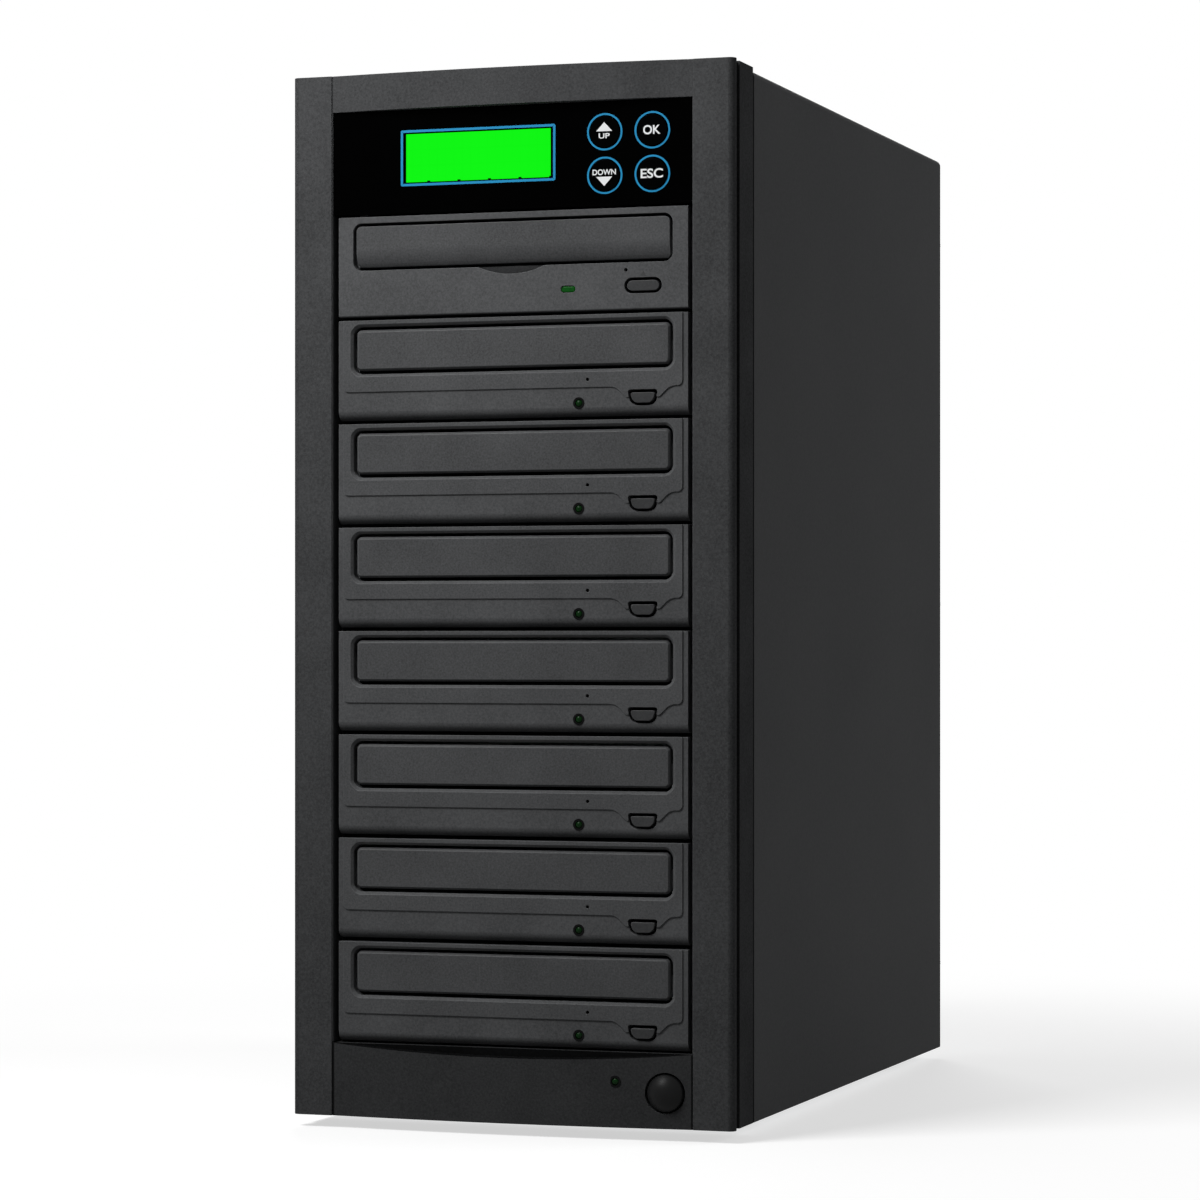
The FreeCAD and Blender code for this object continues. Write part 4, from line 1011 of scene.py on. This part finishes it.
BORDER_WIDE = 67.0 * MM
BORDER_TALL = 22.9 * MM
BORDER_CORNER = 0.8 * MM
BORDER_LINE = 1.0 * MM
RING_RADIUS = 7.5 * MM
RING_LINE = 0.75 * MM
ARROW = [(-3.4 * MM, -1.85 * MM), (3.4 * MM, -1.85 * MM), (0, 1.85 * MM)]
MARK = [(-1.2 * MM, -1.0 * MM), (1.2 * MM, -1.0 * MM), (0, 1.0 * MM)]
MARK_ABOVE = 4.9 * MM
ROCKER_HALF = 8.5 * MM
ROCKER_RISE = 0.4 * MM
ROCKER_MARK_BACK = 1.8 * MM
ROCKER_MARK_OFF = 4.4 * MM
ROCKER_RING = 2 * MM
ROCKER_LINE = 0.7 * MM
BAR_WIDE = 0.9 * MM
BAR_TALL = 4 * MM
BAR_CORNER = 0.2 * MM


def panel_prints():
    """A border round the display and a ring round each key."""
    face = low("control_panel").y
    display = middle("lcd_module")
    border = keep_line(pad(BORDER_WIDE, BORDER_TALL, BORDER_CORNER), BORDER_LINE)
    printed("display_border", border, facing_front(display.x, face, display.z), BLUE, "case")
    for key in KEYS:
        centre = middle(f"key_{key}")
        line = keep_line(disc(RING_RADIUS), RING_LINE)
        printed(f"ring_{key}", line, facing_front(centre.x, face, centre.z), BLUE, "case")


def key_legends():
    """Each key's marks, with their heights above its middle."""
    turned_over = [(x, -y) for x, y in reversed(ARROW)]
    legends = {
        "up": [(flat(ARROW), 2.0 * MM), (words("UP", 4.7 * MM, 2.1 * MM), -1.7 * MM)],
        "ok": [(words("OK", 7.3 * MM, 3.7 * MM), 0)],
        "down": [(words("DOWN", 9.9 * MM, 2.3 * MM), 1.2 * MM), (flat(turned_over), -2.5 * MM)],
        "esc": [(words("ESC", 9.4 * MM, 3.8 * MM), 0)],
    }
    for key, marks in legends.items():
        centre = middle(f"key_{key}")
        face = low(f"key_{key}").y
        for n, (bm, rise) in enumerate(marks):
            place = facing_front(centre.x, face, centre.z + rise)
            printed(f"legend_{key}_{n}", bm, place, WHITE, f"press_{key}")


def reader_mark():
    """A small triangle above the reader's eject button."""
    button = middle("drive_1_eject_button")
    place = facing_front(button.x, low("drive_1_fascia").y, button.z + MARK_ABOVE)
    printed("eject_mark", flat(MARK), place, SHADE, "case")


def rocker_marks():
    """A ring on the half that is pressed in at rest, a bar on the other."""
    joint = next(joint for joint in frame["joints"] if joint["name"] == "rocker_tilt")
    tilt = math.radians((joint["range_deg"][1] - joint["range_deg"][0]) / 2)
    slope = math.atan2(ROCKER_RISE, ROCKER_HALF)
    at_rest = Matrix.Translation(joint["pos_m"]) @ Matrix.Rotation(tilt, 4, "X")
    ring = keep_line(disc(ROCKER_RING), ROCKER_LINE)
    bar = pad(BAR_WIDE, BAR_TALL, BAR_CORNER)
    for name, bm, side in (("ring", ring, 1), ("bar", bar, -1)):
        lean = Matrix.Rotation(side * slope, 4, "X")
        spot = Matrix.Translation((0, ROCKER_MARK_BACK, side * ROCKER_MARK_OFF)) @ lean @ TO_REAR
        printed(f"rocker_{name}", bm, at_rest @ spot, WHITE, "rocker")


panel_prints()
key_legends()
reader_mark()
rocker_marks()


# Screws and feet; a cross is given by its width, span and depth

KNURLS = 30
KNURL_SHARE = 0.95
THUMB_RADIUS = 5 * MM
THUMB_RIM = 0.7 * MM
THUMB_CROSS = (1.3 * MM, 4.4 * MM, 1.6 * MM)
THUMB_COLLAR_RADIUS = 3.7 * MM
THUMB_COLLAR_LONG = 1.3 * MM
SHANK_RADIUS = 1.75 * MM
SHANK_LONG = 6 * MM
PAN_HEAD = [(1.5 * MM, -1.9 * MM), (2.1 * MM, -1.6 * MM), (2.6 * MM, -0.7 * MM), (2.6 * MM, 0)]
PAN_CROSS = (0.6 * MM, 2.4 * MM, 0.9 * MM)
FAN_SCREW_PITCH = 71.5 * MM
SUPPLY_SCREW_SIDE = 1.8 * MM
SUPPLY_SCREW_END = 20 * MM
FOOT_TOP = 10.9 * MM
FOOT_SOLE = 9.8 * MM
FOOT_WELL_MOUTH = 4.4 * MM
FOOT_WELL_FLOOR = 3.4 * MM
FOOT_WELL_DEEP = 2.2 * MM
FOOT_EDGE = 0.5 * MM


def thumbscrews():
    """Knurled heads on a collar, with a cross for a driver."""
    seat = high("cover").y
    head_long = high("cover_screws").y - seat
    bm = disc(THUMB_RADIUS, 2 * KNURLS)
    bmesh.ops.scale(bm, vec=(KNURL_SHARE, KNURL_SHARE, 1), verts=bm.verts[:][1::2])
    bmesh.ops.translate(bm, vec=(0, 0, THUMB_COLLAR_LONG), verts=bm.verts)
    thicken(bm, head_long - THUMB_COLLAR_LONG)
    ends = [face for face in bm.faces if len(face.verts) > 4]
    bmesh.ops.inset_individual(bm, faces=ends, thickness=THUMB_RIM, depth=0, use_even_offset=True)
    bmesh.ops.transform(bm, matrix=TO_FRONT, verts=bm.verts)
    cross_recess(bm, *THUMB_CROSS)
    take_in(bm, turned([
        (THUMB_COLLAR_RADIUS, -THUMB_COLLAR_LONG),
        (THUMB_COLLAR_RADIUS, 0),
        (SHANK_RADIUS, 0),
        (SHANK_RADIUS, SHANK_LONG),
    ]))
    places = [seat_of(box, seat) for box in solids_in("cover_screws")]
    screws = repeated(bm, places, HALF_TURN)
    finished("thumbscrews", screws, SCREW, "case", ["cover_screws"])


def pan_screws(name, places):
    """Small domed screws with a cross."""
    bm = turned(PAN_HEAD, COARSE_TURN)
    cross_recess(bm, *PAN_CROSS)
    finished(name, repeated(bm, places, HALF_TURN), SCREW, "case")


def rear_screws():
    """Four screws in each fan, and four in the power supply."""
    places = []
    for fan, seat in (("rear_fan_frame", high("chassis").y), ("psu_fan_frame", high("psu_case").y)):
        centre = middle(fan)
        for x in (-FAN_SCREW_PITCH / 2, FAN_SCREW_PITCH / 2):
            for z in (-FAN_SCREW_PITCH / 2, FAN_SCREW_PITCH / 2):
                places.append((centre.x + x, seat, centre.z + z))
    pan_screws("fan_screws", places)
    first, last = low("psu_case"), high("psu_case")
    pan_screws("supply_screws", [
        (x, high("chassis").y, z)
        for x in (first.x + SUPPLY_SCREW_SIDE, last.x - SUPPLY_SCREW_SIDE)
        for z in (first.z + SUPPLY_SCREW_END, last.z - SUPPLY_SCREW_END)
    ])


def rubber_feet():
    """Tapered feet with a hollow round the screw that holds each."""
    solids = solids_in("feet")
    tall = solids[0][1].z - solids[0][0].z
    bm = turned([
        (FOOT_WELL_FLOOR, -tall + FOOT_WELL_DEEP),
        (FOOT_WELL_MOUTH, -tall),
        (FOOT_SOLE, -tall),
        (FOOT_TOP, 0),
    ])
    soften(bm, FOOT_EDGE, segments=3)
    places = [Vector(((a.x + b.x) / 2, (a.y + b.y) / 2, b.z)) for a, b in solids]
    finished("rubber_feet", repeated(bm, places, TO_FRONT), RUBBER, "case", ["feet"])


thumbscrews()
rear_screws()
rubber_feet()


# Stage

AMBIENT = 0.10
FLOOR_RADIUS = 12.0
FADE_START = 0.25
FADE_END = 0.7
PURE_WHITE = grey(1, NEUTRAL)


def soft_lamp(name, place, target, side, watts):
    """A square lamp that faces a point."""
    data = bpy.data.lights.new(name, "AREA")
    data.size = side
    data.energy = watts
    lamp = bpy.data.objects.new(name, data)
    scene.collection.objects.link(lamp)
    lamp.location = place
    lamp.visible_camera = False
    lamp.rotation_euler = (Vector(target) - lamp.location).to_track_quat("-Z", "Y").to_euler()


def studio_world():
    """White to look at, dim as a light."""
    world = bpy.data.worlds.new("studio")
    scene.world = world
    sky = Finish(world)
    strength = AMBIENT + sky.seen_directly() * (1 - AMBIENT)
    sky.give(sky.node("ShaderNodeBackground", None, {"Color": PURE_WHITE, "Strength": strength}))


def studio_floor():
    """Pale floor that takes the tower's shadow and runs out into white."""
    bm = disc(FLOOR_RADIUS)
    mesh = bpy.data.meshes.new("floor")
    bm.to_mesh(mesh)
    bm.free()
    floor = bpy.data.objects.new("floor", mesh)
    scene.collection.objects.link(floor)
    f = new_finish("floor_paper")
    place = f.place()
    away = f.node("ShaderNodeVectorMath", {"operation": "LENGTH"}, {0: place}, "Value")
    fade = f.band(away, FADE_START, FADE_END)
    fibre = f.noise(place, 300.0, 3.0, 0.6)
    paper = f.mix(fibre, grey(0.50, NEUTRAL), grey(0.54, NEUTRAL))
    matt = f.node("ShaderNodeBsdfDiffuse", None, {"Color": paper})
    glow = f.node("ShaderNodeEmission", None, {"Color": PURE_WHITE, "Strength": 0.6})
    pale = f.node("ShaderNodeAddShader", None, {0: matt, 1: glow})
    white = f.node("ShaderNodeEmission", None, {"Color": PURE_WHITE, "Strength": 1.0})
    shown = f.node("ShaderNodeMixShader", None, {0: fade, 1: pale, 2: white})
    dark = f.node("ShaderNodeBsdfDiffuse", None, {"Color": grey(0.18, NEUTRAL)})
    f.give(f.node("ShaderNodeMixShader", None, {0: f.seen_directly(), 1: dark, 2: shown}))
    mesh.materials.append(f.owner)


soft_lamp("key_lamp", place=(-0.32, -0.68, 0.84), target=(0, -0.17, 0.32), side=0.4, watts=8.1)
soft_lamp("side_lamp", place=(1.6, 0.5, 0.9), target=(0, 0, 0.2), side=0.8, watts=8.0)
soft_lamp("rear_lamp", place=(-0.5, 1.5, 1.0), target=(0, 0.1, 0.2), side=0.8, watts=12.0)
studio_world()
studio_floor()

lens = bpy.data.cameras.new("camera")
lens.sensor_width = 36.0
lens.lens = 118.9
lens.shift_x = 0.0012
lens.shift_y = 0.0358
lens.clip_end = 50.0
camera = bpy.data.objects.new("camera", lens)
scene.collection.objects.link(camera)
camera.location = (0.5458, -1.6870, 0.1994)
camera.rotation_euler = (math.radians(90), 0, math.radians(18.578))
scene.camera = camera
scene.view_settings.view_transform = "Standard"
